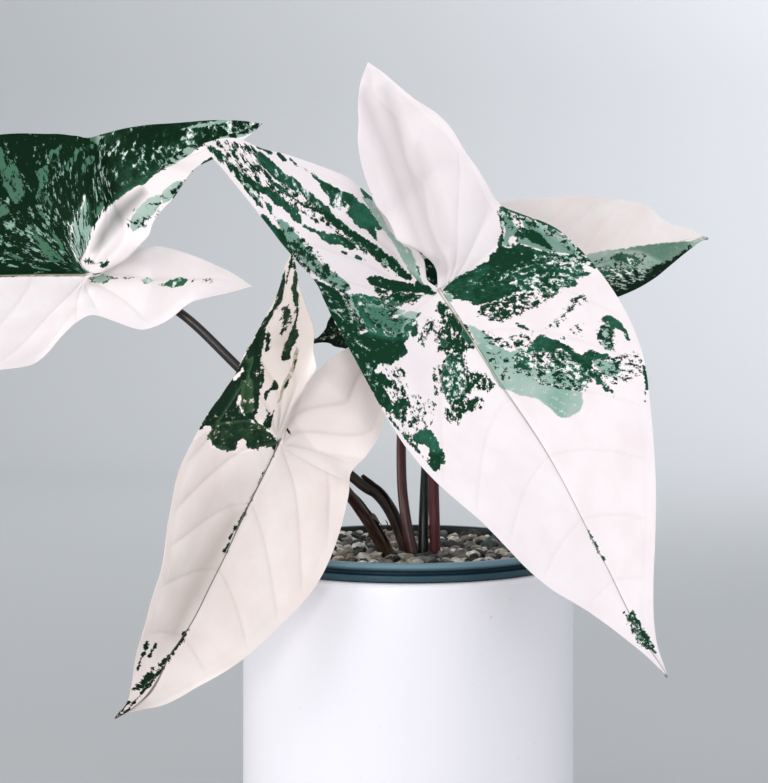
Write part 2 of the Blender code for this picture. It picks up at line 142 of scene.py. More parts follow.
def finish_mesh(piece, angle=35):
    """Turn every face outwards, smooth the shading below an angle, and fix the piece's place."""
    bpy.ops.object.select_all(action="DESELECT")
    piece.select_set(True)
    bpy.context.view_layer.objects.active = piece
    bpy.ops.object.mode_set(mode="EDIT")
    bpy.ops.mesh.select_all(action="SELECT")
    bpy.ops.mesh.normals_make_consistent(inside=False)
    bpy.ops.object.mode_set(mode="OBJECT")
    bpy.ops.object.shade_smooth_by_angle(angle=math.radians(angle))
    bpy.ops.object.transform_apply(location=True, rotation=True, scale=True)
    piece.select_set(False)


def raise_rings(name, rings):
    """A round solid: rings of (radius, height) in mm, each extruded from the one before."""
    radius, height = rings[0]
    bpy.ops.mesh.primitive_circle_add(vertices=AROUND, radius=radius * MM, fill_type="NGON",
        location=(0, 0, height * MM))
    piece = bpy.context.object
    piece.name = name
    bpy.ops.object.mode_set(mode="EDIT")
    bpy.ops.mesh.select_all(action="SELECT")
    for (old_radius, old_height), (radius, height) in zip(rings, rings[1:]):
        bpy.ops.mesh.extrude_region_move(
            TRANSFORM_OT_translate={"value": (0, 0, (height - old_height) * MM)})
        share = radius / old_radius
        bpy.ops.transform.resize(value=(share, share, 1), center_override=(0, 0, height * MM))
    bpy.ops.object.mode_set(mode="OBJECT")
    finish_mesh(piece)
    print(name, len(piece.data.polygons), "faces")
    return piece


def quarter(centre_radius, centre_height, size, start, end, steps=8):
    """Ring places round a quarter of a lip, angles in degrees."""
    places = []
    for i in range(steps + 1):
        turn = math.radians(start + (end - start) * i / steps)
        places.append((centre_radius + size * math.cos(turn), centre_height + size * math.sin(turn)))
    return places


def stands_for(piece, finish, slot, *nodes):
    """Give a piece its finish, let it ride on the one body and stand for its CAD nodes."""
    dress(piece, finish)
    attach(piece, "root")
    if nodes:
        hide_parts(*nodes)


# %% [markdown]
# ## The planter: white glazed ceramic
#
# A cover pot like this is slip-cast or pressed, fired, dipped in an opaque white glaze and fired
# again. The glaze pulls a little thin on the lip, pools into faint long waves down the wall, and
# leaves the foot bare where the pot stood on the kiln shelf. A roughness of about 0.3 keeps the
# soft, broad highlight of a satin glaze.

# %% Planter shape
(_, _, _), (planter_edge, _, planter_top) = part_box("planter")
PLANTER_RADIUS = planter_edge / MM
PLANTER_HEIGHT = planter_top / MM
PLANTER_WALL = 4.5
PLANTER_FLOOR = 6.0
LIP_ROUND = 1.9
FOOT_ROUND = 1.5

inner_wall = PLANTER_RADIUS - PLANTER_WALL
planter = raise_rings("glazed_planter", [
    (PLANTER_RADIUS - FOOT_ROUND - 4, 0), (PLANTER_RADIUS - FOOT_ROUND - 0.4, 0),
    *quarter(PLANTER_RADIUS - FOOT_ROUND, FOOT_ROUND, FOOT_ROUND, -90, 0),
    *[(PLANTER_RADIUS, FOOT_ROUND + (PLANTER_HEIGHT - LIP_ROUND - FOOT_ROUND) * i / 8) for i in range(1, 8)],
    *quarter(PLANTER_RADIUS - LIP_ROUND, PLANTER_HEIGHT - LIP_ROUND, LIP_ROUND, 0, 90),
    (inner_wall + 0.6, PLANTER_HEIGHT), (inner_wall, PLANTER_HEIGHT - 0.6),
    (inner_wall, PLANTER_FLOOR + 2), (inner_wall - 2, PLANTER_FLOOR), (8, PLANTER_FLOOR)])
print("planter", round(2 * PLANTER_RADIUS, 1), "mm across,", round(PLANTER_HEIGHT, 1), "mm high")

# %% Planter finish
BARE_FROM, BARE_BELOW = 1.1, 0.7

glaze, tree, shader = new_finish("white_satin_glaze", IOR=1.52)
where = add_node(tree, "TexCoord", {}, "Object")
# Waves of glaze about 20 mm wide and 60 mm long run down the wall, and a kiln leaves small specks
drawn_down = add_node(tree, "Mapping", {"Vector": where, "Scale": (1, 1, 0.35)})
waves = add_node(tree, "TexNoise", {"Vector": drawn_down, "Scale": 1 / (22 * MM), "Detail": 2.0})
specks = add_node(tree, "TexNoise", {"Vector": where, "Scale": 1 / (1.4 * MM), "Detail": 2.0})
tone = lay_over(tree, linear("F1F0F5"), linear("F7F6FA"), waves)
tone = lay_over(tree, tone, linear("D8D3CC"), specks, 0.74, 0.8)
# The bare foot shows as a duller ring below a height of 1 mm
height = add_node(tree, "SeparateXYZ", {"Vector": where}, "Z")
tone = lay_over(tree, tone, linear("D9D0C4"), height, BARE_FROM * MM, BARE_BELOW * MM)
tree.links.new(tone, shader.inputs["Base Color"])
satin = add_node(tree, "MapRange", {"Value": waves, "To Min": 0.24, "To Max": 0.36})
matt = add_node(tree, "MapRange", {"Value": height, "From Min": BARE_FROM * MM,
    "From Max": BARE_BELOW * MM, "To Max": 0.85})
rough = add_node(tree, "Math", {0: satin, 1: matt}, operation="MAXIMUM")
tree.links.new(rough, shader.inputs["Roughness"])
peel = add_node(tree, "TexNoise", {"Vector": where, "Scale": 1 / (2.5 * MM), "Detail": 1.0})
swell = add_node(tree, "Bump", {"Strength": 0.25, "Distance": 0.5 * MM, "Height": waves})
skin = add_node(tree, "Bump", {"Strength": 0.06, "Distance": 0.1 * MM, "Height": peel, "Normal": swell})
tree.links.new(skin, shader.inputs["Normal"])
stands_for(planter, glaze, "white_glazed_ceramic", "planter")
print("glaze nodes:", len(tree.nodes))

# %% [markdown]
# ## The nursery pot: moulded polypropylene
#
# The thin inner pot is injection moulded. Its rim has two steps with a deep groove between them: a
# rounded bead on top, and a lower band that sits on the planter's lip. The mould leaves a fine
# spark texture, and a little dust lies on it. The top of the bead is painted lighter as a highlight,
# and the groove and the inside of the wall are painted dark as shade.

# %% Nursery pot shape
(_, _, POT_BASE), (rim_edge, _, rim_top) = (np.array(corner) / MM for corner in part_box("nursery_pot"))
POT_WALL = 1.3
WALL_TOP = rim_edge - 3.0
WALL_FOOT = 41.0
RIM_REST = PLANTER_HEIGHT + 0.3
BEAD = 1.1

nursery_pot = raise_rings("moulded_nursery_pot", [
    (6, POT_BASE), (WALL_FOOT - 2, POT_BASE), *quarter(WALL_FOOT - 1.5, POT_BASE + 1.5, 1.5, -80, 0, 5),
    (WALL_TOP, RIM_REST - 3.3), (WALL_TOP + 0.2, RIM_REST), (rim_edge - 0.3, RIM_REST),
    *quarter(rim_edge - 0.45, RIM_REST + 0.45, 0.45, -60, 0, 3),
    *quarter(rim_edge - 0.45, rim_top - 4.2, 0.45, 0, 80, 4),
    (rim_edge - 1.3, rim_top - 3.9), (rim_edge - 2.1, rim_top - 3.6), (rim_edge - 2.1, rim_top - 2.9),
    (rim_edge - 1.5, rim_top - 2.5),
    *quarter(rim_edge - 0.2 - BEAD, rim_top - BEAD, BEAD, -25, 90, 9),
    *quarter(WALL_TOP + 0.1, rim_top - 0.8, 0.8, 90, 180, 5),
    (WALL_TOP - POT_WALL, RIM_REST - 3.3), (WALL_FOOT - POT_WALL, POT_BASE + 3),
    (WALL_FOOT - POT_WALL - 1, POT_BASE + 2), (6, POT_BASE + 2)])
print("rim", round(2 * rim_edge, 1), "mm across, its top", round(rim_top, 1), "mm up")

# %% Drain holes in the nursery pot
DRAIN_HOLES, DRAIN_RING, DRAIN_RADIUS = 8, 27.0, 4.0
drills = []
for k in range(DRAIN_HOLES):
    turn = 2 * math.pi * k / DRAIN_HOLES
    bpy.ops.mesh.primitive_cylinder_add(vertices=24, radius=DRAIN_RADIUS * MM, depth=8 * MM,
        location=(DRAIN_RING * math.cos(turn) * MM, DRAIN_RING * math.sin(turn) * MM, (POT_BASE + 1) * MM))
    drills.append(bpy.context.object)
for drill in drills:
    drill.select_set(True)
bpy.ops.object.join()
drill = bpy.context.object
bore = nursery_pot.modifiers.new("drain holes", "BOOLEAN")
bore.operation = "DIFFERENCE"
bore.object = drill
bpy.context.view_layer.objects.active = nursery_pot
bpy.ops.object.modifier_apply(modifier=bore.name)
bpy.data.objects.remove(drill)
finish_mesh(nursery_pot)
print("nursery pot after drilling:", len(nursery_pot.data.polygons), "faces")

# %% Nursery pot finish
plastic, tree, shader = new_finish("moulded_grey_teal_polypropylene", IOR=1.49, Specular_IOR_Level=0.25)
where = add_node(tree, "TexCoord", {}, "Object")
height = add_node(tree, "SeparateXYZ", {"Vector": where}, "Z")
cloudy = add_node(tree, "TexNoise", {"Vector": where, "Scale": 1 / (9 * MM), "Detail": 4.0})
tone = lay_over(tree, linear("27424C"), linear("33525D"), cloudy)
# Painted highlight on the top of the bead, and painted shade in the groove below it
tone = lay_over(tree, tone, linear("6F8D98"), height, (rim_top - 2.6) * MM, (rim_top - 1.0) * MM)
above_band = add_node(tree, "MapRange", {"Value": height, "From Min": (rim_top - 4.1) * MM,
    "From Max": (rim_top - 3.6) * MM})
tone = lay_over(tree, tone, linear("062A37"), height, (rim_top - 2.3) * MM, (rim_top - 2.9) * MM,
    above_band)
dust = add_node(tree, "TexNoise", {"Vector": where, "Scale": 1 / (1.6 * MM), "Detail": 5.0})
tone = lay_over(tree, tone, linear("AEBBBD"), dust, 0.64, 0.8, 0.16)
# Painted shade: the inside of the wall is darkened nearly to black
sideways = add_node(tree, "VectorMath", {0: where, 1: (1, 1, 0)}, operation="MULTIPLY")
radius = add_node(tree, "VectorMath", {0: sideways}, "Value", operation="LENGTH")
tone = lay_over(tree, tone, linear("0A1416"), radius, (WALL_TOP + 0.4) * MM, (WALL_TOP - 0.2) * MM, 0.97)
rough = add_node(tree, "MapRange", {"Value": dust, "To Min": 0.32, "To Max": 0.55})
tree.links.new(rough, shader.inputs["Roughness"])
# The mould's spark texture is about 0.2 mm; it is drawn at 0.5 mm, the finest that shows
spark = add_node(tree, "TexNoise", {"Vector": where, "Scale": 1 / (0.5 * MM), "Detail": 2.0})
cover_with(tree, shader, tone, spark, 0.25, 0.1)
stands_for(nursery_pot, plastic, "grey_teal_plastic", "nursery_pot")
print("plastic nodes:", len(tree.nodes))

# %% [markdown]
# ## The potting mix
#
# Under the gravel lies a dark mix of bark and peat, seen only in the gaps between the stones. Its
# CAD node already has the right shape, so it keeps its mesh and gets a crumbly finish: a noise
# gives the clumps, a pattern of cells gives the crumbs with a pale grain in each, and the bump
# follows the crumbs. The buried crown gets the dry, corky look of an old aroid stem.

# %% Mix and crown finishes
soil, tree, shader = new_finish("bark_and_peat_mix", Roughness=0.95)
where = add_node(tree, "TexCoord", {}, "Object")
clumps = add_node(tree, "TexNoise", {"Vector": where, "Scale": 1 / (6 * MM), "Detail": 6.0})
crumbs = add_node(tree, "TexVoronoi", {"Vector": where, "Scale": 1 / (1.8 * MM)}, "Distance")
tone = lay_over(tree, linear("1E1712"), linear("4A3829"), clumps)
tone = lay_over(tree, tone, linear("6B543C"), crumbs, 0.25, 0.05, 0.5)
cover_with(tree, shader, tone, crumbs, 0.9, 0.8)
dress(frame["nodes"]["potting_mix"], soil)

cork, tree, shader = new_finish("corky_crown", Roughness=0.85)
where = add_node(tree, "TexCoord", {}, "Object")
rings = add_node(tree, "TexWave", {"Vector": where, "Scale": 1 / (9 * MM), "Distortion": 4.0,
    "Detail": 3.0}, "Fac", bands_direction="Z")
tone = lay_over(tree, linear("3A2E20"), linear("6E5C40"), rings)
cover_with(tree, shader, tone, rings, 0.7, 0.5)
dress(frame["nodes"]["crown"], cork)
print("mix and crown keep their CAD shapes")

# %% [markdown]
# ## The gravel
#
# The top dressing is mixed pea grit: white and pale quartz, grey, dark and teal-grey slate and
# tan sandstone, 3 to 7 mm each. The CAD model carries the biggest stones. Hundreds of smaller
# ones fill the gaps between them here, a first layer on the mix and a second in its hollows. One
# rough stone is modelled from an icosphere, and each copy is pulled out of shape on its own, so
# that no two look alike. They are joined by colour, because one object per stone would be slow.

# %% Stone finishes
STONE_COLOURS = {"stone_1": "DDDAD0", "stone_2": "6E6C66", "stone_3": "25231F", "stone_4": "8A8370",
    "stone_5": "2E4441", "stone_6": "BCB6A8"}
STONE_NAMES = {"stone_1": "white_quartz", "stone_2": "grey_slate", "stone_3": "dark_slate",
    "stone_4": "tan_sandstone", "stone_5": "teal_slate", "stone_6": "pale_quartz"}


def stone_finish(slot):
    """Rough stone: the slot's colour with mineral blotches, dark pores and a gritty skin."""
    colour = linear(STONE_COLOURS[slot])
    darker = (*[c * 0.55 for c in colour[:3]], 1.0)
    lighter = (*[min(1.0, c * 1.2 + 0.02) for c in colour[:3]], 1.0)
    finish, tree, shader = new_finish(STONE_NAMES[slot], Roughness=0.8)
    where = add_node(tree, "TexCoord", {}, "Object")
    blotch = add_node(tree, "TexNoise", {"Vector": where, "Scale": 1 / (2.2 * MM), "Detail": 5.0})
    pores = add_node(tree, "TexNoise", {"Vector": where, "Scale": 1 / (0.5 * MM), "Detail": 2.0})
    tone = lay_over(tree, darker, lighter, blotch, 0.35, 0.65)
    tone = lay_over(tree, tone, linear("3B342C"), pores, 0.42, 0.34, 0.6)
    cover_with(tree, shader, tone, pores, 0.6, 0.3)
    return finish


stone_finishes = {slot: stone_finish(slot) for slot in STONE_COLOURS}
node_slots = {entry["node"]: entry["material_slot"] for entry in frame["record"]["subparts"]}
cad_stones = [node for node in node_slots if node.startswith("stone_")]
for node in cad_stones:
    dress(frame["nodes"][node], stone_finishes[node_slots[node]])
print("stones from the CAD model:", len(cad_stones))

# %% Where the small stones lie
MIX_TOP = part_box("potting_mix")[1][2] / MM
BED_RADIUS = WALL_TOP - POT_WALL - 0.4
# Half the width of the smallest and the largest, mm
SMALL_STONE, LARGE_STONE = 1.7, 3.2
# Neighbours may come closer than side by side, because stones are not round
CAD_STONE_SHARE, NEIGHBOUR_SHARE = 0.8, 0.82
TRIES_EACH = 60
# Two layers: how many stones, and how high their middles lie over the mix, mm
LAYERS = ((220, 1.3, 2.2), (330, 2.9, 4.3))
SHARES = {"stone_1": 14, "stone_2": 22, "stone_3": 24, "stone_4": 16, "stone_5": 10, "stone_6": 14}
# The five petioles come up here, and each has this much room round its middle, mm
FEET = ((9.3, -8.2), (5.2, -6.9), (1.7, -10.0), (-1.0, -4.2), (-7.1, -12.9))
FOOT_ROOM = 3.6
rng = random.Random(41)

taken = [(*foot, FOOT_ROOM) for foot in FEET]
for node in cad_stones:
    low, high = (Vector(corner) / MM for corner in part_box(node))
    taken.append(((low.x + high.x) / 2, (low.y + high.y) / 2, (high.x - low.x) / 2 * CAD_STONE_SHARE))


def throw_layer(count, low, high):
    """Middles and half sizes in mm of stones that fit beside the taken places."""
    bed = []
    spots = np.array(taken)
    for _ in range(count * TRIES_EACH):
        size = rng.uniform(SMALL_STONE, LARGE_STONE)
        reach = (BED_RADIUS - size) * math.sqrt(rng.random())
        turn = rng.uniform(0, 2 * math.pi)
        x, y = reach * math.cos(turn), reach * math.sin(turn)
        apart = np.hypot(spots[:, 0] - x, spots[:, 1] - y)
        if (apart > NEIGHBOUR_SHARE * (spots[:, 2] + size)).all():
            bed.append(((x, y, MIX_TOP + rng.uniform(low, high)), size))
            spots = np.vstack([spots, (x, y, size)])
        if len(bed) == count:
            break
    return bed


beds = {slot: [] for slot in SHARES}
for count, low, high in LAYERS:
    for place, size in throw_layer(count, low, high):
        beds[rng.choices(list(SHARES), list(SHARES.values()))[0]].append((place, size))
print("small stones:", sum(len(bed) for bed in beds.values()))

# %% Gravel between the CAD stones
bpy.ops.mesh.primitive_ico_sphere_add(subdivisions=2, radius=1)
rough_stone = bpy.context.object
ball = np.array([vert.co for vert in rough_stone.data.vertices])
ball_faces = np.array([tuple(face.vertices) for face in rough_stone.data.polygons])
bpy.data.objects.remove(rough_stone)


def grow_gravel(slot, bed):
    """One piece with a differently worn copy of the rough stone at each place of the bed."""
    places = []
    for middle, size in bed:
        shift = Vector([rng.uniform(0, 90) for _ in range(3)])
        wear = np.array([1 + 0.5 * noise.noise(Vector(point) * 1.4 + shift) for point in ball])
        half = size * np.array([1, rng.uniform(0.7, 0.95), rng.uniform(0.55, 0.8)])
        spin = Euler([rng.uniform(-0.5, 0.5), rng.uniform(-0.5, 0.5), rng.uniform(0, 6.3)]).to_matrix()
        places.append((ball * wear[:, None] * half) @ np.array(spin).T + np.array(middle))
    corners = np.vstack([ball_faces + k * len(ball) for k in range(len(bed))])
    mesh = bpy.data.meshes.new("gravel")
    mesh.from_pydata((np.vstack(places) * MM).tolist(), [], corners.tolist())
    piece = bpy.data.objects.new("gravel_" + STONE_NAMES[slot], mesh)
    bpy.context.scene.collection.objects.link(piece)
    finish_mesh(piece, 45)
    stands_for(piece, stone_finishes[slot], slot)
    print(piece.name, len(bed), "stones")


for slot, bed in beds.items():
    grow_gravel(slot, bed)

# %% [markdown]
# ## Carrying a flat grid onto a surface
#
# Stalks, sheaths and blades are all sheets that run along a line. By hand one would extrude them
# row by row; here a flat grid is added once, and every one of its points is carried to its place
# on the surface by a short formula. The grid keeps its even quads, so a pattern or a vein can
# follow the rows, and the same helper serves a tube, an open channel and a leaf.

# %% A grid that is carried to its place
def carried_grid(name, columns, rows, place):
    """A grid whose points (a, b), both arrays from 0 to 1, go to place(a, b) in mm."""
    bpy.ops.mesh.primitive_grid_add(x_subdivisions=columns, y_subdivisions=rows, size=2)
    piece = bpy.context.object
    piece.name = name
    flat = np.empty(3 * len(piece.data.vertices))
    piece.data.vertices.foreach_get("co", flat)
    flat = (flat.reshape(-1, 3) + 1) / 2
    piece.data.vertices.foreach_set("co", (place(flat[:, 0], flat[:, 1]) * MM).ravel())
    return piece


def close_seams(piece, distance=0.002, fill=False):
    """Merge points that lie together, and fill open ends if asked."""
    bpy.context.view_layer.objects.active = piece
    bpy.ops.object.mode_set(mode="EDIT")
    bpy.ops.mesh.select_mode(type="VERT")
    bpy.ops.mesh.select_all(action="SELECT")
    bpy.ops.mesh.remove_doubles(threshold=distance * MM)
    if fill:
        bpy.ops.mesh.fill_holes(sides=0)
    bpy.ops.object.mode_set(mode="OBJECT")


def keep(piece, name, values):
    """Store one number or one vector for each point of a piece."""
    values = np.asarray(values, np.float32)
    kind, field = ("FLOAT", "value") if values.ndim == 1 else ("FLOAT_VECTOR", "vector")
    piece.data.attributes.new(name, kind, "POINT").data.foreach_set(field, values.ravel())


def read_places(piece):
    """The places of a piece's points in mm."""
    flat = np.empty(3 * len(piece.data.vertices))
    piece.data.vertices.foreach_get("co", flat)
    return flat.reshape(-1, 3) / MM


# %% [markdown]
# ## The shape of a leaf
#
# A syngonium blade is an arrowhead: a long middle lobe, a waist, and two lobes that point back
# past the petiole. All five blades share one flat outline, given in hundredths of the blade's
# length with the petiole point as the origin. What makes each leaf its own is how it is bent.
# The bend is that of a thin plate pinned at a few dozen places, which gives the smooth folds of
# a real blade from very few numbers. Each pinned place is written as it is seen from the front:
# across and up on the pot's axis, and then how deep it lies, all in mm.

# %% The flat outline
# Where the camera stands, mm
EYE = (-8.4, -650.0, 196.0)
OUTER_EDGE = ((0, -100), (2.6, -90), (7, -81), (13, -71), (20, -60), (26.5, -48), (31.5, -36),
    (33.5, -25), (33, -14), (30, -3), (25, 6), (22.5, 12), (23.5, 19), (26, 28), (28.5, 37),
    (30, 46), (30, 55), (29, 61))
# The inner end of the rib that starts at each outer point: down the midrib, then up the lobe
SPINE = ((0, -100), (0, -88.5), (0, -77), (0, -65), (0, -52), (0, -38.5), (0, -25), (0, -14), (0, -6),
    (0, 0), (0, 4.5), (1.2, 9), (2.5, 16), (5, 25), (9, 34), (14, 42), (20, 49), (29, 61))
SINUS_RIB = 10

# Points of the flat blade that are pinned, in the same hundredths
MIDRIB = ((0, 0), (0, -25), (0, -50), (0, -75), (0, -100))
SINUS = ((0, 4.5),)
SIDE = ((22.5, 12), (30, -3), (33.5, -25), (26.5, -48), (13, -71), (2.6, -90))
LOBE_OUTSIDE = ((26, 28), (30, 46), (29, 61))
LOBE_INSIDE = ((20, 49), (14, 42), (9, 34), (5, 25), (2.5, 16), (1.2, 9))
VEIN = ((13, 27), (21, 44))
BULGE = ((33, -14),)
LOBE_BULGE = ((28.5, 37),)
LOBE_EDGE = ((17, 45.5), (24, 54.5))

print("corners of half the outline:", len(OUTER_EDGE))

# %% How the front and lower leaves stand, mm
# A leaf may also give its side veins' slant, bow and spacing, and a fan for its grain
FRONT_LEAF = {
    "midrib": ((11, 200.5, -35), (32, 168.5, -50), (53, 136, -63), (70.5, 102, -76),
        (91, 65.5, -88)),
    "sinus": ((10.6, 201.2, -35),),
    "right side": ((32, 231, -31), (53, 221.5, -32), (76.5, 192.5, -44), (85, 158, -59),
        (86.5, 114, -74), (86.5, 81.5, -84)),
    "right lobe outside": ((20.5, 248.5, -30), (3, 267, -27), (-14, 280.5, -22)),
    "right lobe inside": ((-17.5, 263.5, -28), (-16.3, 244.5, -33), (-10.5, 229.5, -36.5),
        (-3.5, 218, -38.5), (6.8, 211.8, -39), (10.2, 206.5, -37)),
    "right lobe edge": ((-17.6, 254.5, -30.5), (-17, 273, -25)),
    "right vein": ((5.5, 237.5, -32), (-4, 261, -27)),
    "left side": ((-32, 203, -44), (-23, 185.5, -50), (-1.5, 147, -62), (24.5, 121, -73),
        (51, 95.5, -81), (77, 78, -86)),
    "left lobe outside": ((-46.5, 220, -43), (-61.5, 239, -41), (-72, 252, -39)),
    "left lobe inside": ((-57.5, 253, -34), (-43, 248.5, -31), (-20.5, 240, -28), (-5.5, 227.5, -28),
        (5.2, 211.8, -31.5), (6.8, 204, -33.5)),
    "left vein": ((-24, 225.5, -36), (-48.5, 241.5, -37)),
}
LOWER_LEAF = {
    "veins": (0.3, 0.032, 1.5),
    "midrib": ((-45, 147, -54), (-57.5, 121.5, -60), (-69.5, 96.5, -66), (-83.5, 72.5, -71),
        (-102.5, 51, -72)),
    "sinus": ((-44.5, 149, -54),),
    "right side": ((-19.5, 137.5, -50), (-21, 128, -55), (-28.5, 104, -62), (-44, 84, -67),
        (-66, 66, -71), (-87.5, 54.5, -72)),
    "right lobe outside": ((-10, 150.5, -48.5), (-1, 172, -43.5), (1.5, 187, -37.5)),
    "right lobe inside": ((-10.5, 186.5, -40.5), (-20, 181.5, -44), (-28, 175.5, -47), (-35, 170, -50),
        (-40, 163, -52), (-42.5, 155, -53.5)),
    "right vein": ((-21.5, 161.5, -48),),
    "left side": ((-60.5, 171, -52), (-69.5, 158, -59), (-80, 137.5, -70), (-84.5, 111.5, -76),
        (-91.5, 84.5, -78), (-97, 60.5, -75)),
    "left lobe outside": ((-53, 185.5, -50), (-44, 205, -52), (-40.5, 213.5, -53)),
    "left lobe inside": ((-38, 203, -57), (-35.5, 193.5, -60), (-33, 185, -61), (-32, 174, -60),
        (-37, 164.5, -58), (-42, 156, -56)),
    "left vein": ((-44, 179.5, -52),),
}

# %% How the left, right and back leaves stand, mm
LEFT_LEAF = {
    "fan": 22.0,
    "midrib": ((-113, 206, -15), (-150, 205.5, -22), (-183, 203, -30),
        (-214.5, 198, -40), (-244.5, 189.5, -52)),
    "sinus": ((-111, 206.5, -15.5),),
    "right side": ((-110.5, 192, -18), (-122, 183.5, -22), (-145, 172.5, -30), (-178, 170, -40),
        (-211, 176, -48), (-234.5, 185.5, -52)),
    "right bulge": ((-131, 175, -25),),
    "right lobe outside": ((-93, 187, -20), (-75, 196.5, -19), (-54.5, 202, -17)),
    "right lobe bulge": ((-83, 190.8, -20),),
    "right lobe inside": ((-64, 208, -15), (-74.5, 212.5, -14), (-87, 216, -13), (-96.5, 214.5, -13),
        (-103, 209.5, -13.5), (-108.5, 206, -14.5)),
    "right vein": ((-90.5, 204.5, -16),),
    "left side": ((-112, 254, -11), (-125.5, 255.5, -12), (-151.5, 254, -20),
        (-186.5, 244.5, -28), (-214.5, 224.5, -38), (-234.5, 200.5, -48)),
    "left lobe outside": ((-97.5, 257.5, -9), (-71, 260, -8), (-51, 259, -6)),
    "left lobe inside": ((-67, 247, -17), (-76.5, 241.5, -21), (-83, 232, -23), (-90.5, 220, -23),
        (-98.5, 211.5, -20), (-107.5, 207, -17)),
    "left vein": ((-101.5, 233, -12), (-80.5, 247, -12)),
}
RIGHT_LEAF = {
    "midrib": ((19, 200.5, 30), (40.5, 204, 34), (62.5, 209, 39), (84, 214, 45),
        (105, 219, 50)),
    "sinus": ((15.5, 200.5, 29),),
    "right side": ((11, 224.5, 26), (24.5, 229.5, 28), (48, 233, 32), (68, 233, 39),
        (85.5, 229, 46), (98.5, 222, 49)),
    "right lobe outside": ((-2, 226.5, 24), (-14.5, 224.5, 23), (-24.5, 220, 22)),
    "right lobe inside": (None, (-14, 214, 25), None, (1.5, 206.5, 27)),
    "left side": ((13.5, 185, 25), (28.5, 184.5, 27), (48.5, 190.5, 30), (68.5, 196.5, 36),
        (86.5, 205, 43), (99.5, 215.5, 49)),
    "left lobe outside": ((5, 179.5, 23), (-4, 175.5, 22), (-14, 175.5, 21)),
    "left lobe inside": (None, (-7, 187.5, 24), None, (3.5, 196, 27)),
}
BACK_LEAF = {
    "midrib": ((1.5, 197, 14), (-7.5, 193.5, 8), (-16.5, 189.5, 0), (-25.5, 185.5, -9),
        (-34.5, 182, -18)),
    "sinus": ((3.5, 198, 14.5),),
    "right side": ((7.5, 187.5, 13), (2.5, 183, 10), (-5.5, 179.5, 4), (-16, 179.5, -3),
        (-25.5, 181, -10)),
    "right lobe outside": ((15.5, 188, 15), (22.5, 191, 17), (28.5, 195, 18)),
    "right lobe inside": (None, (19.5, 197, 17), None, (10.5, 197.5, 16)),
    "left side": ((0.5, 210.5, 12), (-3.5, 208.5, 9), (-12.5, 205, 4), (-22, 198, -3),
        (-28, 189.5, -9)),
    "left lobe outside": ((7, 214.5, 13), (14, 218, 15), (20.5, 218, 18)),
    "left lobe inside": (None, (15.5, 208.5, 17), None, (9, 202, 16)),
}

# %% Bending a blade
# How loosely the plate holds to its pins; at 0 it goes right through them
PLATE_SLACK = 0.5
BLADE_THICKNESS = 0.9


def stand(across, up, depth):
    """The place in mm of a point seen at (across, up), at its depth along the sight line."""
    scale = (depth - EYE[1]) / -EYE[1]
    return (EYE[0] + (across - EYE[0]) * scale, depth, EYE[2] + (up - EYE[2]) * scale)


def pinned_points(leaf):
    """Flat points of one leaf that have a place, and these places."""
    groups = (("midrib", MIDRIB, 1), ("sinus", SINUS, 1), ("right side", SIDE, 1),
        ("right lobe outside", LOBE_OUTSIDE, 1), ("right lobe inside", LOBE_INSIDE, 1),
        ("right vein", VEIN, 1), ("right bulge", BULGE, 1),
        ("right lobe bulge", LOBE_BULGE, 1), ("right lobe edge", LOBE_EDGE, 1),
        ("left side", SIDE, -1),
        ("left lobe outside", LOBE_OUTSIDE, -1), ("left lobe inside", LOBE_INSIDE, -1),
        ("left vein", VEIN, -1))
    flat = []
    places = []
    for key, marks, hand in groups:
        for (u, v), seen in zip(marks, leaf.get(key, ())):
            if seen is not None:
                flat.append((u * hand, v))
                places.append(stand(*seen))
    return np.array(flat, float), np.array(places, float)


def plate_kernel(a, b):
    """Bending kernel of a thin plate between two sets of flat points."""
    square = ((a[:, None, :] - b[None, :, :]) ** 2).sum(2)
    return 0.5 * square * np.log(square + 1e-9)


def bend_blade(leaf):
    """A function that bends flat blade points like a thin plate through the pinned places."""
    flat, places = pinned_points(leaf)
    count = len(flat)
    plane = np.hstack([np.ones((count, 1)), flat])
    system = np.zeros((count + 3, count + 3))
    system[:count, :count] = plate_kernel(flat, flat) + np.eye(count) * PLATE_SLACK
    system[:count, count:] = plane
    system[count:, :count] = plane.T
    weights = np.linalg.solve(system, np.vstack([places, np.zeros((3, 3))]))

    def bend(points):
        points = np.array(points, float)
        rows = np.hstack([plate_kernel(points, flat), np.ones((len(points), 1)), points])
        return rows @ weights

    return bend


def blade_back(leaf):
    """Where the petiole meets the underside, just ahead of the sinus, and the way off it."""
    centre, right, left, ahead = bend_blade(leaf)([(0, -2.5), (4, -4), (-4, -4), (0, -9)])
    face = Vector(right - left).cross(Vector(centre - ahead)).normalized()
    return Vector(centre) - face * BLADE_THICKNESS, -face


print("front blade starts at", np.round(bend_blade(FRONT_LEAF)([(0, 0)])[0], 1), "mm")

# %% [markdown]
# ## Stalks
#
# A syngonium petiole is a juicy round stalk, slightly grooved on its upper side and thickest at
# its foot. Each one follows a smooth line through a few places, the same ones that the CAD model
# uses. The grid helper wraps a grid round that line. The turn round the stalk and the way along it
# are stored on the points, because the skin of a stalk is streaked lengthwise, and a pattern that
# reads those two values follows every curve. The last few millimetres turn square on to the blade
# and end inside the rib on its back.

# %% Smooth lines
def glide(points, at):
    """Places on a smooth line through the points; one unit of `at` is one gap."""
    points = np.array(points, float)
    points = np.vstack([2 * points[0] - points[1], points, 2 * points[-1] - points[-2]])
    first = np.clip(np.floor(at).astype(int), 0, len(points) - 4)
    t = (at - first)[:, None]
    a, b, c, d = (points[first + k] for k in range(4))
    bow = 2 * a - 5 * b + 4 * c - d
    return 0.5 * (2 * b + (c - a) * t + bow * t ** 2 + (3 * b - a - 3 * c + d) * t ** 3)


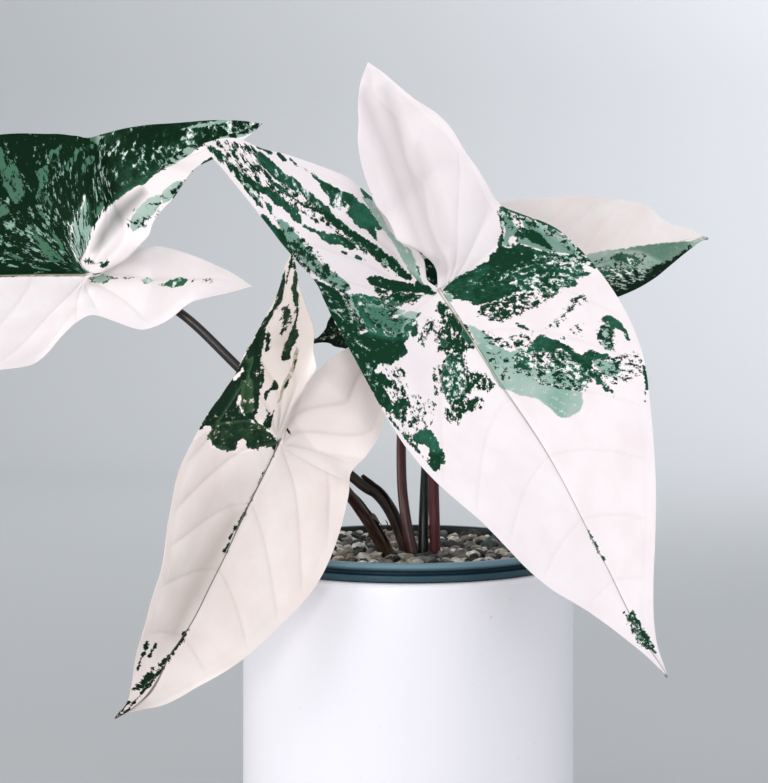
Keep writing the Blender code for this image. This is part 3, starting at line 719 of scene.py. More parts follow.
def smooth_step(low, high, value):
    """0 below low, 1 above high, and a soft rise between them."""
    t = np.clip((value - low) / (high - low), 0, 1)
    return t * t * (3 - 2 * t)


# %% Growing a stalk
STALK_STEPS = 110
STALK_SIDES = 28
# Each stalk's places in mm, its leaf, and its radius at the foot and at the top
STALKS = {
    "front": (((9.3, -8.2, 109.0), (9.0, -8.8, 122.0), (8.6, -10.5, 142.0), (8.8, -17.0, 164.0),
        (9.8, -25.5, 186.0)), FRONT_LEAF, 2.0, 1.6),
    "right": (((5.2, -6.9, 109.0), (5.4, -5.6, 122.0), (6.6, 1.0, 142.0), (9.5, 14.0, 160.0),
        (13.0, 30.0, 177.0), (17.0, 39.0, 191.0)), RIGHT_LEAF, 1.9, 1.4),
    "back": (((1.7, -10.0, 109.0), (-0.4, -9.2, 119.0), (-2.0, -7.2, 131.0), (-2.4, -3.5, 144.0),
        (-2.0, 3.0, 158.0), (-1.0, 12.0, 174.0), (0.2, 19.5, 187.0)), BACK_LEAF, 2.0, 1.4),
    "left": (((-1.0, -4.2, 109.0), (-2.6, -4.4, 115.5), (-6.4, -5.0, 124.0), (-11.0, -6.0, 130.0),
        (-17.5, -7.5, 134.5), (-38.0, -9.5, 153.5), (-58.5, -10.5, 174.0), (-79.0, -9.0, 193.0),
        (-98.0, -6.0, 201.5)), LEFT_LEAF, 2.2, 1.4),
    "lower": (((-7.0, -12.8, 109.0), (-10.0, -15.5, 115.5), (-15.0, -20.5, 124.0),
        (-21.0, -26.5, 133.0), (-28.0, -33.0, 141.5), (-36.5, -42.0, 148.0)), LOWER_LEAF, 2.3, 1.5),
}


def stalk_line(places, leaf):
    """Points of a stalk's middle line in mm, from the crown to inside the blade's rib."""
    top, away = blade_back(leaf)
    foot = (*places[0][:2], MIX_TOP - 0.6)
    return np.array([foot, *places, top + away * 4.5, top - away * 0.1])


def line_frames(middle):
    """Two directions square to a line at each of its places, turning as little as they can."""
    forward = np.gradient(middle, axis=0)
    forward /= np.linalg.norm(forward, axis=1)[:, None]
    side = np.array((1.0, 0.0, 0.0))
    sides = []
    for way in forward:
        side = side - way * (side @ way)
        side /= np.linalg.norm(side)
        sides.append(side)
    return np.array(sides), np.cross(forward, sides)


def at_share(values, share):
    """Vectors read off a line, at shares from 0 to 1 of its places."""
    along = np.linspace(0, 1, len(values))
    return np.column_stack([np.interp(share, along, values[:, k]) for k in range(3)])


def grow_stalk(name, places, leaf, foot_radius, top_radius):
    """A tapered stalk with a groove above, and streak coordinates for its skin."""
    points = stalk_line(places, leaf)
    middle = glide(points, np.linspace(0, len(points) - 1, STALK_STEPS + 1))
    sides, fronts = line_frames(middle)
    length = np.linalg.norm(np.diff(middle, axis=0), axis=1).sum()

    def radius(turn, share):
        size = foot_radius + (top_radius - foot_radius) * share ** 0.8
        size = size * (1 + 0.16 * np.exp(-share * length / 7) + 0.06 * np.exp(-(1 - share) * length / 5))
        groove = np.exp(-(np.cos(turn / 2 - 0.8) / 0.3) ** 2)
        return size * (1 - 0.09 * groove * smooth_step(0.15, 0.5, share))

    def place(a, b):
        turn = a * 2 * math.pi
        ring = at_share(sides, b) * np.cos(turn)[:, None] + at_share(fronts, b) * np.sin(turn)[:, None]
        return at_share(middle, b) + ring * radius(turn, b)[:, None]

    piece = carried_grid(name, STALK_SIDES, STALK_STEPS, place)
    flat = np.tile(np.linspace(0, 1, STALK_SIDES + 1), STALK_STEPS + 1)
    along = np.repeat(np.linspace(0, 1, STALK_STEPS + 1), STALK_SIDES + 1)
    turn = flat * 2 * math.pi
    keep(piece, "streak", np.column_stack([np.cos(turn) * 2, np.sin(turn) * 2, along * length]))
    keep(piece, "share", along)
    close_seams(piece, fill=True)
    finish_mesh(piece, 60)
    print(name, round(length), "mm long")
    return piece


# %% [markdown]
# ## The skin of a stalk
#
# The petioles of this plant are dark: wine red where the light reaches them, nearly black
# elsewhere, and greener where they shade each other. The colour sits under a waxy skin that
# keeps a fairly sharp highlight. Fine pale streaks and a few short flecks run lengthwise.

# %% Stalk finishes
def stalk_finish(name, low, high, streaks, roughness=0.36):
    """Waxy skin: a colour at the foot, another at the top, and streaks that run along it."""
    finish, tree, shader = new_finish(name, Roughness=roughness, IOR=1.45)
    share = add_node(tree, "Attribute", {}, "Fac", attribute_name="share")
    streak = add_node(tree, "Attribute", {}, "Vector", attribute_name="streak")
    # The finest streaks are about 0.4 mm wide and 8 mm long
    along = add_node(tree, "Mapping", {"Vector": streak, "Scale": (1, 1, 0.06)})
    fine = add_node(tree, "TexNoise", {"Vector": along, "Scale": 1.9, "Detail": 4.0})
    cloud = add_node(tree, "TexNoise", {"Vector": streak, "Scale": 0.12, "Detail": 3.0})
    climb = add_node(tree, "Math", {0: cloud, 1: 0.7, 2: share}, operation="MULTIPLY_ADD")
    tone = lay_over(tree, linear(low), linear(high), climb, 0.38, 0.7)
    tone = lay_over(tree, tone, linear(streaks), fine, 0.5, 0.75, 0.55)
    tone = lay_over(tree, tone, linear("140D0C"), fine, 0.45, 0.25, 0.6)
    cover_with(tree, shader, tone, fine, 0.3, 0.15)
    return finish


STALK_SKINS = {
    "front": stalk_finish("wine_red_petiole", "4C161A", "521F22", "7C3F3D"),
    "lower": stalk_finish("olive_wine_petiole", "423C26", "301917", "7A5F54"),
    "left": stalk_finish("charcoal_brown_petiole", "2E1816", "2A2220", "5C4E44", 0.3),
    "right": stalk_finish("black_green_petiole", "0A120F", "131D17", "2C3A2E"),
    "back": stalk_finish("dark_wine_petiole", "33161A", "4E2B28", "70493D"),
}
for leaf_name, (places, leaf, foot_radius, top_radius) in STALKS.items():
    stalk = grow_stalk("stalk_of_" + leaf_name, places, leaf, foot_radius, top_radius)
    stands_for(stalk, STALK_SKINS[leaf_name], node_slots[leaf_name + "_petiole"], leaf_name + "_petiole")
print("stalks:", len(STALKS))

# %% [markdown]
# ## Sheaths
#
# Every petiole starts as an open sheath that once wrapped the next leaf. On two of the leaves it
# stands a little off the stalk and can be seen: a leathery channel, open on one side, that
# narrows to a free point. It is the same carried grid, wrapped only part of the way round, with
# a slightly waved edge, and a Solidify modifier gives it its thickness.

# %% Two open sheaths
SHEATH_THICKNESS = 0.4
# How far the channel reaches round the stalk on each side, in degrees, at its foot and its point
SHEATH_OPEN, SHEATH_POINT = 105, 20
SHEATH_SIDES, SHEATH_STEPS = 20, 60


def grow_sheath(name, stalk_name, first, last, opening, inner, flare):
    """A channel on part of a stalk's line, first and last in gaps, open towards one direction."""
    places, leaf, _, _ = STALKS[stalk_name]
    middle = glide(stalk_line(places, leaf), np.linspace(first, last, SHEATH_STEPS + 1))
    ahead = np.gradient(middle, axis=0)
    ahead /= np.linalg.norm(ahead, axis=1)[:, None]
    sides = np.cross(np.array(opening) / np.linalg.norm(opening), ahead)
    sides /= np.linalg.norm(sides, axis=1)[:, None]
    fronts = np.cross(ahead, sides)
    length = np.linalg.norm(np.diff(middle, axis=0), axis=1).sum()

    def place(a, b):
        reach = np.radians(SHEATH_OPEN + (SHEATH_POINT - SHEATH_OPEN) * b ** 1.6)
        turn = math.pi + reach * (2 * a - 1)
        edge = np.abs(2 * a - 1) ** 3
        size = inner + flare * b ** 2 + edge * (0.2 + 0.15 * np.sin(b * 19 + 3 * a))
        ring = at_share(fronts, b) * np.cos(turn)[:, None] + at_share(sides, b) * np.sin(turn)[:, None]
        return at_share(middle, b) + ring * size[:, None]

    piece = carried_grid(name, SHEATH_SIDES, SHEATH_STEPS, place)
    across = np.tile(np.linspace(-5, 5, SHEATH_SIDES + 1), SHEATH_STEPS + 1)
    along = np.repeat(np.linspace(0, 1, SHEATH_STEPS + 1), SHEATH_SIDES + 1)
    keep(piece, "streak", np.column_stack([across, np.zeros(len(along)), along * length]))
    keep(piece, "share", along)
    solid = piece.modifiers.new("thickness", "SOLIDIFY")
    solid.thickness = SHEATH_THICKNESS * MM
    solid.offset = -1
    bpy.ops.object.modifier_apply(modifier=solid.name)
    finish_mesh(piece, 60)
    return piece


sheath_skin = stalk_finish("leathery_dark_sheath", "1E1412", "262019", "54483A", 0.45)
for name, stalk_name, first, last, opening, inner, flare, skin in (
        ("sheath_of_left", "left", 1.7, 5.0, (-0.7, -0.6, -0.6), 2.15, 0.55, sheath_skin),
        ("sheath_of_lower", "lower", 1.3, 3.7, (-0.5, -1.0, 0.2), 2.2, -0.15, STALK_SKINS["lower"])):
    sheath = grow_sheath(name, stalk_name, first, last, opening, inner, flare)
    stands_for(sheath, skin, node_slots[stalk_name + "_sheath"], stalk_name + "_sheath")
    print(name, len(sheath.data.polygons), "faces")

# %% [markdown]
# ## A scrap of dry sheath
#
# The first leaves of a plant drop off and leave their papery sheaths behind. One dried curl
# hangs beside the lower leaf's stalk. It is a narrow strip, twisted as it dried.

# %% The dry curl
CURL = ((-12.6, -21.5, 124.6), (-11.0, -22.6, 123.4), (-9.2, -22.8, 121.2), (-8.0, -21.8, 120.4),
    (-7.2, -20.6, 121.2), (-7.8, -19.8, 122.4))


def curl_place(a, b):
    """A strip along the curl that twists most of the way round and narrows to its end."""
    middle = glide(CURL, b * (len(CURL) - 1))
    turn = 0.6 + b * 5
    wide = (a - 0.5) * 1.7 * (1 - 0.6 * b)
    return middle + np.column_stack([np.cos(turn) * 0.7, np.cos(turn) * 0.3, np.sin(turn)]) * wide[:, None]


curl = carried_grid("dry_sheath_scrap", 6, 40, curl_place)
solid = curl.modifiers.new("thickness", "SOLIDIFY")
solid.thickness = 0.25 * MM
solid.offset = 0
bpy.ops.object.modifier_apply(modifier=solid.name)
finish_mesh(curl, 60)
papery, tree, shader = new_finish("papery_dry_sheath", Roughness=0.8)
where = add_node(tree, "TexCoord", {}, "Object")
fibres = add_node(tree, "TexNoise", {"Vector": where, "Scale": 1 / (0.8 * MM), "Detail": 3.0})
tone = lay_over(tree, linear("2E211A"), linear("5A4636"), fibres)
tree.links.new(tone, shader.inputs["Base Color"])
stands_for(curl, papery, "crown_tissue")
print("dry curl:", len(curl.data.polygons), "faces")

# %% [markdown]
# ## From the flat outline to a blade with veins
#
# Each half of the flat blade is a grid whose rows run from the midrib to the margin, the way
# the side veins do, and a Mirror modifier adds the other half. The points are then bent into
# place and pushed a little off the surface: up between the veins and down on them, which is the
# quilting that catches the light on a real blade. Last comes a Solidify modifier. Its vertex
# group keeps the margin thin and leaves ribs standing out on the back, where a leaf has them.

# %% The flat half blade
def half_blade(a, b):
    """Flat places of the right half: a from spine to margin, b from the tip to the lobe's end."""
    steps = np.hypot(*np.diff(np.array(OUTER_EDGE, float), axis=0).T)
    reach = np.concatenate([[0], np.cumsum(steps)]) / steps.sum()
    rib = np.interp(b, reach, np.arange(len(reach)))
    outside = glide(OUTER_EDGE, rib)
    inside = glide(SPINE, rib)
    inside[:, 0] = np.where(rib <= SINUS_RIB, 0, np.maximum(inside[:, 0], 0.02))
    return np.column_stack([inside + (outside - inside) * a[:, None], np.zeros(len(a))])


def flat_blade(name, columns, rows):
    """The whole flat blade, in hundredths of its length."""
    piece = carried_grid(name, columns, rows, half_blade)
    close_seams(piece, 0.006)
    mirror = piece.modifiers.new("other half", "MIRROR")
    mirror.merge_threshold = 0.004 * MM
    bpy.ops.object.modifier_apply(modifier=mirror.name)
    return piece


# %% [markdown]
# ## Where the veins run
#
# The side veins leave the midrib almost square and arch towards the tip. In the two back
# lobes they spread from the petiole point like fingers. Two short formulas number the veins: a
# whole number is on a vein, and the fraction says how far the next one is. A grain is worked
# out as well, a pair of lengths along and across the veins, because the green of a variegated leaf
# is stretched that way: each streak is a line of cells that grew out from the midrib.

# %% Veins and grain
# Where side veins leave the midrib, in hundredths, and the lobe veins' angles off the midrib
SIDE_VEINS = (-130, -92, -77, -61, -45, -29, -14, 0, 14, 40, 60, 90)
LOBE_VEINS = (-12, 12, 25.5, 40, 57, 78, 104, 150, 200)
LOBE_RIB = math.radians(25.5)
# Steps down the outer margin, and how many of them lead back from the lobe's end to the petiole
EDGE_STEPS, SINUS_STEPS = 90, 38


def numbered(value, marks):
    """How far value is between its two marks (0 to 1), and the width of that gap."""
    at = np.interp(value, marks, np.arange(len(marks)))
    gaps = np.append(np.diff(marks), 1)
    return at % 1, gaps[np.clip(at.astype(int), 0, len(marks) - 2)]


def vein_lines(flat, unit, slant, bow, spacing):
    """For flat points: the arch between veins, nearness to a vein, and the grain in mm."""
    u, v = np.abs(flat[:, 0]), flat[:, 1]
    along = (v + slant * u + bow * u * u) / spacing
    share, gap = numbered(along, SIDE_VEINS)
    away = np.minimum(share, 1 - share) * gap / np.hypot(1, slant + 2 * bow * u) * unit * spacing
    reach = np.hypot(u, v)
    angle = np.arctan2(u, v)
    lobe_share, lobe_gap = numbered(np.degrees(angle), LOBE_VEINS)
    lobe_away = np.minimum(lobe_share, 1 - lobe_share) * np.radians(lobe_gap) * reach * unit
    in_lobe = smooth_step(-3, 8, v)
    arch = (1 - in_lobe) * 4 * share * (1 - share) + in_lobe * 4 * lobe_share * (1 - lobe_share)
    near = (1 - in_lobe) * np.exp(-(away / 0.42) ** 2) + in_lobe * np.exp(-(lobe_away / 0.42) ** 2)
    rise = v - 0.45 * np.maximum(v, 0)
    grain_along = (0.87 * u - 0.5 * rise) / 1.3
    grain_across = 0.5 * u + 0.87 * rise
    side = np.where(flat[:, 0] < 0, 60.0, 0.0)
    return arch, near, np.column_stack([grain_along * unit + side, grain_across * unit])


def margin_distance(flat, unit):
    """How far flat points lie from the margin, in mm."""
    steps = np.linspace(0, len(OUTER_EDGE) - 1, EDGE_STEPS)
    edge = np.vstack([glide(OUTER_EDGE, steps), glide(SPINE, steps[::-1][:SINUS_STEPS])])
    points = np.column_stack([np.abs(flat[:, 0]), flat[:, 1]])
    nearest = np.full(len(points), np.inf)
    for start, end in zip(edge, edge[1:]):
        nearest = np.minimum(nearest, line_gap(points, start, end))
    return nearest * unit


def line_gap(points, start, end):
    """Distance from flat points to the straight line between two others."""
    way = end - start
    share = np.clip((points - start) @ way / max(way @ way, 1e-12), 0, 1)
    return np.hypot(*(points - start - share[:, None] * way).T)


# %% The back of a blade
BACK_THICKEST = 2.3
THICKNESS_LEVELS = 60


def thicken(piece, thickness):
    """Give the sheet a back: thickness in mm for each point, all of it behind the face."""
    group = piece.vertex_groups.new(name="thickness")
    share = thickness / BACK_THICKEST * THICKNESS_LEVELS
    levels = np.clip(np.round(share), 1, THICKNESS_LEVELS).astype(int)
    for level in np.unique(levels):
        group.add(np.flatnonzero(levels == level).tolist(), level / THICKNESS_LEVELS, "REPLACE")
    solid = piece.modifiers.new("back", "SOLIDIFY")
    solid.thickness = BACK_THICKEST * MM
    solid.offset = -1
    solid.vertex_group = group.name
    solid.material_offset = 1
    bpy.context.view_layer.objects.active = piece
    bpy.ops.object.modifier_apply(modifier=solid.name)
    piece.vertex_groups.clear()


# %% Ribs, relief and thickness
RIB_THICKNESS = 1.5
MARGIN_WIDTH = 6


def rib_distances(flat, unit):
    """How far flat points lie from the midrib and from the main vein of their lobe, in mm."""
    midrib = np.where(flat[:, 1] < 4.5, np.abs(flat[:, 0]), 99) * unit
    reach = np.hypot(*flat.T) * unit
    turn = np.arctan2(np.abs(flat[:, 0]), flat[:, 1]) - LOBE_RIB
    return midrib, np.where(np.abs(turn) < 1.2, np.abs(np.sin(turn)), 9) * reach


def blade_relief(flat, arch, near, margin, midrib, lobe_rib, puff, crease, wave):
    """How far the face stands out at flat points in mm: quilting, channels and a waved margin."""
    inside = smooth_step(0, MARGIN_WIDTH, margin)
    height = puff * (1 + 0.2 * smooth_step(0, 10, flat[:, 1])) * (arch - 0.55) * inside
    height = height * smooth_step(0.5, 7, midrib) - crease * near * inside
    channel = 0.15 + 0.35 * smooth_step(-70, -10, flat[:, 1])
    height -= channel * np.exp(-(midrib / 0.9) ** 2) + 0.45 * np.exp(-(lobe_rib / 1.8) ** 2) * inside
    ripple = np.sin(flat[:, 1] * 0.23 + np.sign(flat[:, 0])) * np.sin(flat[:, 1] * 0.071 + 2)
    height += wave * ripple * (1 - smooth_step(0, 9, margin))
    return height - 0.07 * np.exp(-((margin - 2.6) / 0.7) ** 2)


def blade_thickness(flat, near, inside, midrib, lobe_rib):
    """How thick the blade is at flat points in mm: thin, with ribs that fade towards the tip."""
    taper = smooth_step(-100, -60, flat[:, 1]) * 0.6 + 0.4
    thickness = 0.28 + 0.22 * inside + 0.3 * near * inside
    thickness += RIB_THICKNESS * taper * np.exp(-(midrib / 1.1) ** 2)
    return thickness + 0.7 * np.exp(-(lobe_rib / 0.9) ** 2) * inside


# %% Growing a blade
def grow_blade(name, leaf, columns, rows, puff, crease, wave):
    """A bent, veined blade; puff between the veins, crease on them and wave at the margin in mm."""
    piece = flat_blade(name, columns, rows)
    flat = read_places(piece)[:, :2]
    bend = bend_blade(leaf)
    base, tip = bend([(0, 0), (0, -100)])
    unit = np.linalg.norm(base - tip) / 100
    places = bend(flat)
    face = np.cross(bend(flat + (0.2, 0)) - places, bend(flat + (0, 0.2)) - places)
    face /= np.linalg.norm(face, axis=1)[:, None]

    arch, near, grain = vein_lines(flat, unit, *leaf.get("veins", (0.15, 0.02, 1)))
    if leaf.get("fan"):
        # On the left leaf the cells' offspring spread like a fan from the petiole
        reach = np.hypot(*flat.T) * unit
        grain = np.column_stack([reach / 1.9, np.arctan2(flat[:, 0], flat[:, 1]) * leaf["fan"]])
    margin = margin_distance(flat, unit)
    inside = smooth_step(0, MARGIN_WIDTH, margin)
    midrib, lobe_rib = rib_distances(flat, unit)
    height = blade_relief(flat, arch, near, margin, midrib, lobe_rib, puff, crease, wave)
    piece.data.vertices.foreach_set("co", ((places + face * height[:, None]) * MM).ravel())

    keep(piece, "flat", np.column_stack([flat * unit, margin]))
    # The name's length shifts the noise, so that not all leaves read it at the same depth
    keep(piece, "grain", np.column_stack([grain, np.full(len(flat), len(name) * 7.0)]))
    keep(piece, "ribs", np.column_stack([midrib, lobe_rib, near * inside]))
    print(name, round(unit * 100), "mm long,", len(flat), "points a side")
    return piece, places, blade_thickness(flat, near, inside, midrib, lobe_rib)


# %% [markdown]
# ## Where the green is
#
# No two leaves of this plant are alike, and the pattern is most of what one recognises. The big
# patches are therefore outlined leaf by leaf, in the picture's pixels as seen from the
# front. They are only the coarse plan: the material later roughens every edge along the grain and
# scatters the specks by noise. They are painted in order, and a later one covers an earlier one.
# The kinds are green (pigmented), milk (the grey-green where only deep cells have pigment), white
# (no pigment), freckle (dark specks, with their density), fleck (pale specks, with their density)
# and tone (from -1, near black, to 1, mid green; below 0 it dulls the milk too, and above 1 it
# lays painted shade on the white). For the first three kinds, a number above 0 makes a line of that
# width instead of an area.

# %% From a place to the picture
# The pixel that the eye looks straight at, and how many pixels a slope of 1 covers
PICTURE_CENTRE = (384.0, 303.5)
PICTURE_REACH = 1858.0
PICTURE_HEIGHT = 783
PIXEL_MM = 0.35


def in_picture(places):
    """Pixel columns and rows where places in mm are seen."""
    depth = places[:, 1] - EYE[1]
    return np.column_stack([PICTURE_CENTRE[0] + PICTURE_REACH * (places[:, 0] - EYE[0]) / depth,
        PICTURE_CENTRE[1] - PICTURE_REACH * (places[:, 2] - EYE[2]) / depth])


def inside_area(seen, outline):
    """How far points lie inside an outline, in pixels; negative outside."""
    outline = np.array(outline, float)
    nearest = np.full(len(seen), np.inf)
    within = np.zeros(len(seen), bool)
    for start, end in zip(outline, np.roll(outline, -1, axis=0)):
        nearest = np.minimum(nearest, line_gap(seen, start, end))
        if start[1] != end[1]:
            crossing = start[0] + (seen[:, 1] - start[1]) * (end[0] - start[0]) / (end[1] - start[1])
            within ^= ((start[1] > seen[:, 1]) != (end[1] > seen[:, 1])) & (seen[:, 0] < crossing)
    return np.where(within, nearest, -nearest)


def along_line(seen, width, points):
    """How far points lie inside a line of a width, in pixels; negative outside."""
    points = np.array(points, float)
    nearest = np.full(len(seen), np.inf)
    for start, end in zip(points, points[1:]):
        nearest = np.minimum(nearest, line_gap(seen, start, end))
    return width / 2 - nearest


# Depths past this many pixels make no difference, and a patch is felt no further than its reach
FAR, PATCH_REACH = 8.0, 12.0
# Over how many pixels the edge of painted shade (a tone above 1), and of any other tone or speck area, fades
PAINTED_SHADE_FADE, FADE = 14, 5


def paint(piece, seen, patches):
    """Store how deep each point lies in the green, the milk and the specks of a leaf."""
    fields = {"green": np.full(len(seen), -FAR), "milk": np.full(len(seen), -FAR),
        "freckle": np.zeros(len(seen)), "fleck": np.zeros(len(seen)), "tone": np.zeros(len(seen))}
    for kind, amount, points in patches:
        low = np.min(points, axis=0) - PATCH_REACH
        high = np.max(points, axis=0) + PATCH_REACH
        near = np.flatnonzero(((seen > low) & (seen < high)).all(axis=1))
        if kind in ("green", "milk", "white"):
            depth = inside_area(seen[near], points)
            if amount:
                depth = along_line(seen[near], amount, points)
            for other in ("green", "milk"):
                if kind == other:
                    fields[other][near] = np.maximum(fields[other][near], depth)
                elif kind == "white" or other == "green":
                    fields[other][near] = np.minimum(fields[other][near], -depth)
        else:
            fade = PAINTED_SHADE_FADE if amount > 1 else FADE
            cover = np.clip(inside_area(seen[near], points) / fade + 0.5, 0, 1)
            fields[kind][near] += (amount - fields[kind][near]) * cover
    for kind in ("green", "milk"):
        keep(piece, kind, np.clip(fields[kind], -FAR, FAR) * PIXEL_MM)
    for kind in ("freckle", "fleck", "tone"):
        keep(piece, kind, fields[kind])


# %% The front leaf: its left lobe
FRONT_LEFT_LOBE = (
    # The left lobe: bands that run from its tip towards the petiole
    ("green", 0, ((202, 143), (210, 146), (220, 151), (226, 158), (218, 157), (209, 151))),
    ("green", 0, ((226, 160), (236, 166), (248, 179), (256, 186), (262, 194), (257, 198), (250, 192),
        (243, 184), (236, 175), (229, 167))),
    ("green", 0, ((236, 165), (250, 178), (262, 186), (272, 190), (283, 197), (289, 204), (296, 208),
        (300, 216), (301, 223), (295, 221), (289, 214), (283, 209), (276, 204), (266, 196), (256, 192),
        (246, 181))),
    ("green", 0, ((256, 151), (268, 158), (283, 171), (300, 181), (312, 193), (325, 203), (332, 212),
        (321, 210), (309, 201), (296, 191), (281, 182), (268, 171), (257, 161))),
    ("green", 0, ((268, 181), (280, 184), (291, 194), (303, 203), (318, 208), (332, 213), (345, 222),
        (360, 234), (378, 246), (394, 258), (405, 269), (413, 279), (404, 279), (397, 275), (388, 268),
        (376, 261), (368, 252), (355, 242), (346, 236), (334, 225), (322, 215), (306, 209), (296, 202),
        (286, 195))),
    ("green", 0, ((342, 189), (352, 196), (362, 203), (371, 211), (377, 219), (381, 229), (378, 231),
        (375, 226), (378, 240), (375, 239), (369, 230), (361, 228), (353, 221), (346, 213), (351, 207),
        (344, 201))),
    ("green", 0, ((319, 184), (327, 181), (340, 188), (345, 193), (344, 200), (347, 207), (341, 206),
        (343, 217), (338, 212), (331, 204), (326, 196))),
    ("green", 0, ((206, 146), (216, 151), (224, 157), (234, 165), (246, 179), (258, 195), (266, 208),
        (262, 211), (252, 198), (240, 183), (230, 171), (220, 161), (211, 152))),
    ("green", 3.2, ((258, 146), (265, 148), (271, 153))),
    ("green", 3.2, ((279, 153), (285, 159), (291, 160), (297, 165))),
    ("green", 1.6, ((301, 167), (306, 169), (312, 173))),
    ("green", 3.0, ((311, 173), (317, 179), (325, 184))),
    ("green", 2.4, ((262, 197), (268, 206), (274, 216), (278, 221))),
    ("green", 0, ((314, 231), (322, 231), (332, 233), (342, 236), (349, 240), (358, 248), (350, 249),
        (340, 245), (330, 246), (321, 239))),
    ("green", 2.6, ((304, 226), (313, 231))),
    ("green", 2.2, ((342, 252), (347, 254))),
    ("green", 3.0, ((356, 256), (361, 259), (367, 260))),
    ("freckle", 0.5, ((212, 141), (236, 141), (254, 148), (268, 158), (288, 176), (310, 196), (334, 214),
        (352, 232), (356, 246), (338, 236), (318, 220), (298, 212), (282, 206), (266, 196), (250, 184),
        (236, 168), (224, 158))),
    ("freckle", 0.5, ((352, 233), (380, 250), (404, 272), (396, 276), (376, 262), (356, 250))),
    ("fleck", 0.24, ((256, 152), (300, 182), (320, 200), (330, 210), (315, 208), (285, 190), (258, 166))),
    ("fleck", 0.35, ((340, 225), (370, 244), (400, 270), (400, 278), (372, 258), (345, 236))),
    ("fleck", 0.45, ((320, 184), (342, 188), (346, 212), (338, 214), (328, 198))),
    ("tone", 0.5, ((225, 142), (250, 148), (262, 160), (250, 168), (232, 158))),
    ("tone", -0.6, ((208, 146), (228, 156), (262, 190), (262, 210), (236, 180))),
    ("fleck", 0.4, ((214, 150), (230, 160), (262, 196), (262, 208), (232, 176))),
    # The light main vein of the left lobe, and the grey sliver beside the top lobe
    ("white", 2.2, ((330, 205), (346, 217), (362, 231), (378, 243), (395, 256), (410, 269), (424, 283),
        (434, 290))),
    ("milk", 0, ((361, 196), (370, 197), (384, 220), (396, 239), (411, 250), (415, 259), (417, 269),
        (424, 285), (417, 281), (408, 270), (404, 262), (398, 251), (390, 239), (380, 225), (370, 211))),
    ("tone", -0.8, ((366, 192), (376, 192), (426, 286), (408, 280), (372, 212))),
    ("green", 0, ((414, 280), (424, 284), (432, 289), (439, 293), (434, 296), (424, 293), (416, 288))),
    ("green", 0, ((360, 189), (367, 188), (371, 194), (371, 199), (362, 198))),
    ("green", 0, ((416, 266), (420, 266), (421, 277), (417, 273))),
    ("tone", 0.3, ((356, 186), (374, 186), (374, 202), (358, 202))),
)
print("patches of the left lobe:", len(FRONT_LEFT_LOBE))

# %% The front leaf: below the left lobe and at the petiole point
FRONT_LEFT_MARGIN = (
    # The left lobe's lower margin
    ("green", 0, ((258, 210), (266, 215), (272, 224), (280, 230), (288, 240), (294, 252), (292, 262),
        (280, 250), (271, 238), (262, 222))),
    ("milk", 0, ((276, 218), (287, 222), (297, 234), (304, 245), (313, 255), (322, 266), (334, 273),
        (346, 282), (353, 290), (343, 292), (332, 287), (318, 277), (305, 266), (294, 252), (284, 236))),
    ("tone", -0.6, ((272, 212), (300, 232), (325, 262), (358, 290), (340, 296), (296, 262), (274, 228))),
    ("freckle", 0.52, ((278, 220), (300, 232), (325, 262), (354, 288), (340, 294), (300, 268),
        (280, 240))),
    ("green", 0, ((303, 272), (314, 278), (324, 283), (334, 288), (343, 296), (350, 305), (356, 318),
        (360, 332), (363, 345), (370, 362), (378, 378), (386, 392), (389, 404), (382, 410), (372, 394),
        (362, 376), (353, 357), (345, 342), (337, 326), (328, 312), (320, 298), (311, 284))),
    ("tone", -0.8, ((315, 280), (345, 295), (362, 335), (390, 400), (380, 408), (352, 350), (330, 315))),
    ("fleck", 0.2, ((316, 282), (345, 300), (364, 340), (388, 396), (380, 404), (350, 350), (326, 312))),
    ("fleck", 0.42, ((334, 300), (352, 304), (358, 320), (348, 324), (336, 312))),
    ("milk", 0, ((343, 293), (351, 295), (357, 306), (362, 316), (366, 326), (360, 328), (355, 318),
        (350, 308), (345, 300))),
    ("freckle", 0.6, ((340, 290), (352, 294), (370, 330), (360, 336), (344, 304))),
    # Wedges at the petiole point
    ("green", 0, ((366, 279), (371, 275), (382, 277), (395, 280), (410, 283), (421, 287), (434, 291),
        (426, 294), (410, 293), (394, 292), (380, 287), (370, 284))),
    ("green", 0, ((382, 299), (390, 295), (400, 292), (412, 293), (424, 296), (415, 300), (404, 303),
        (393, 306), (384, 304))),
    ("fleck", 0.2, ((396, 292), (422, 292), (420, 300), (400, 302))),
    ("tone", -1.4, ((364, 274), (436, 288), (430, 298), (390, 308), (376, 304), (366, 286))),
    ("freckle", 0.6, ((374, 286), (424, 294), (418, 302), (392, 310), (378, 302))),
    ("tone", -1.0, ((300, 196), (330, 214), (372, 244), (410, 274), (402, 282), (368, 258), (334, 232),
        (300, 212))),
    ("green", 1.5, ((282, 199), (294, 206), (306, 214), (318, 222))),
)
print("patches below it:", len(FRONT_LEFT_MARGIN))

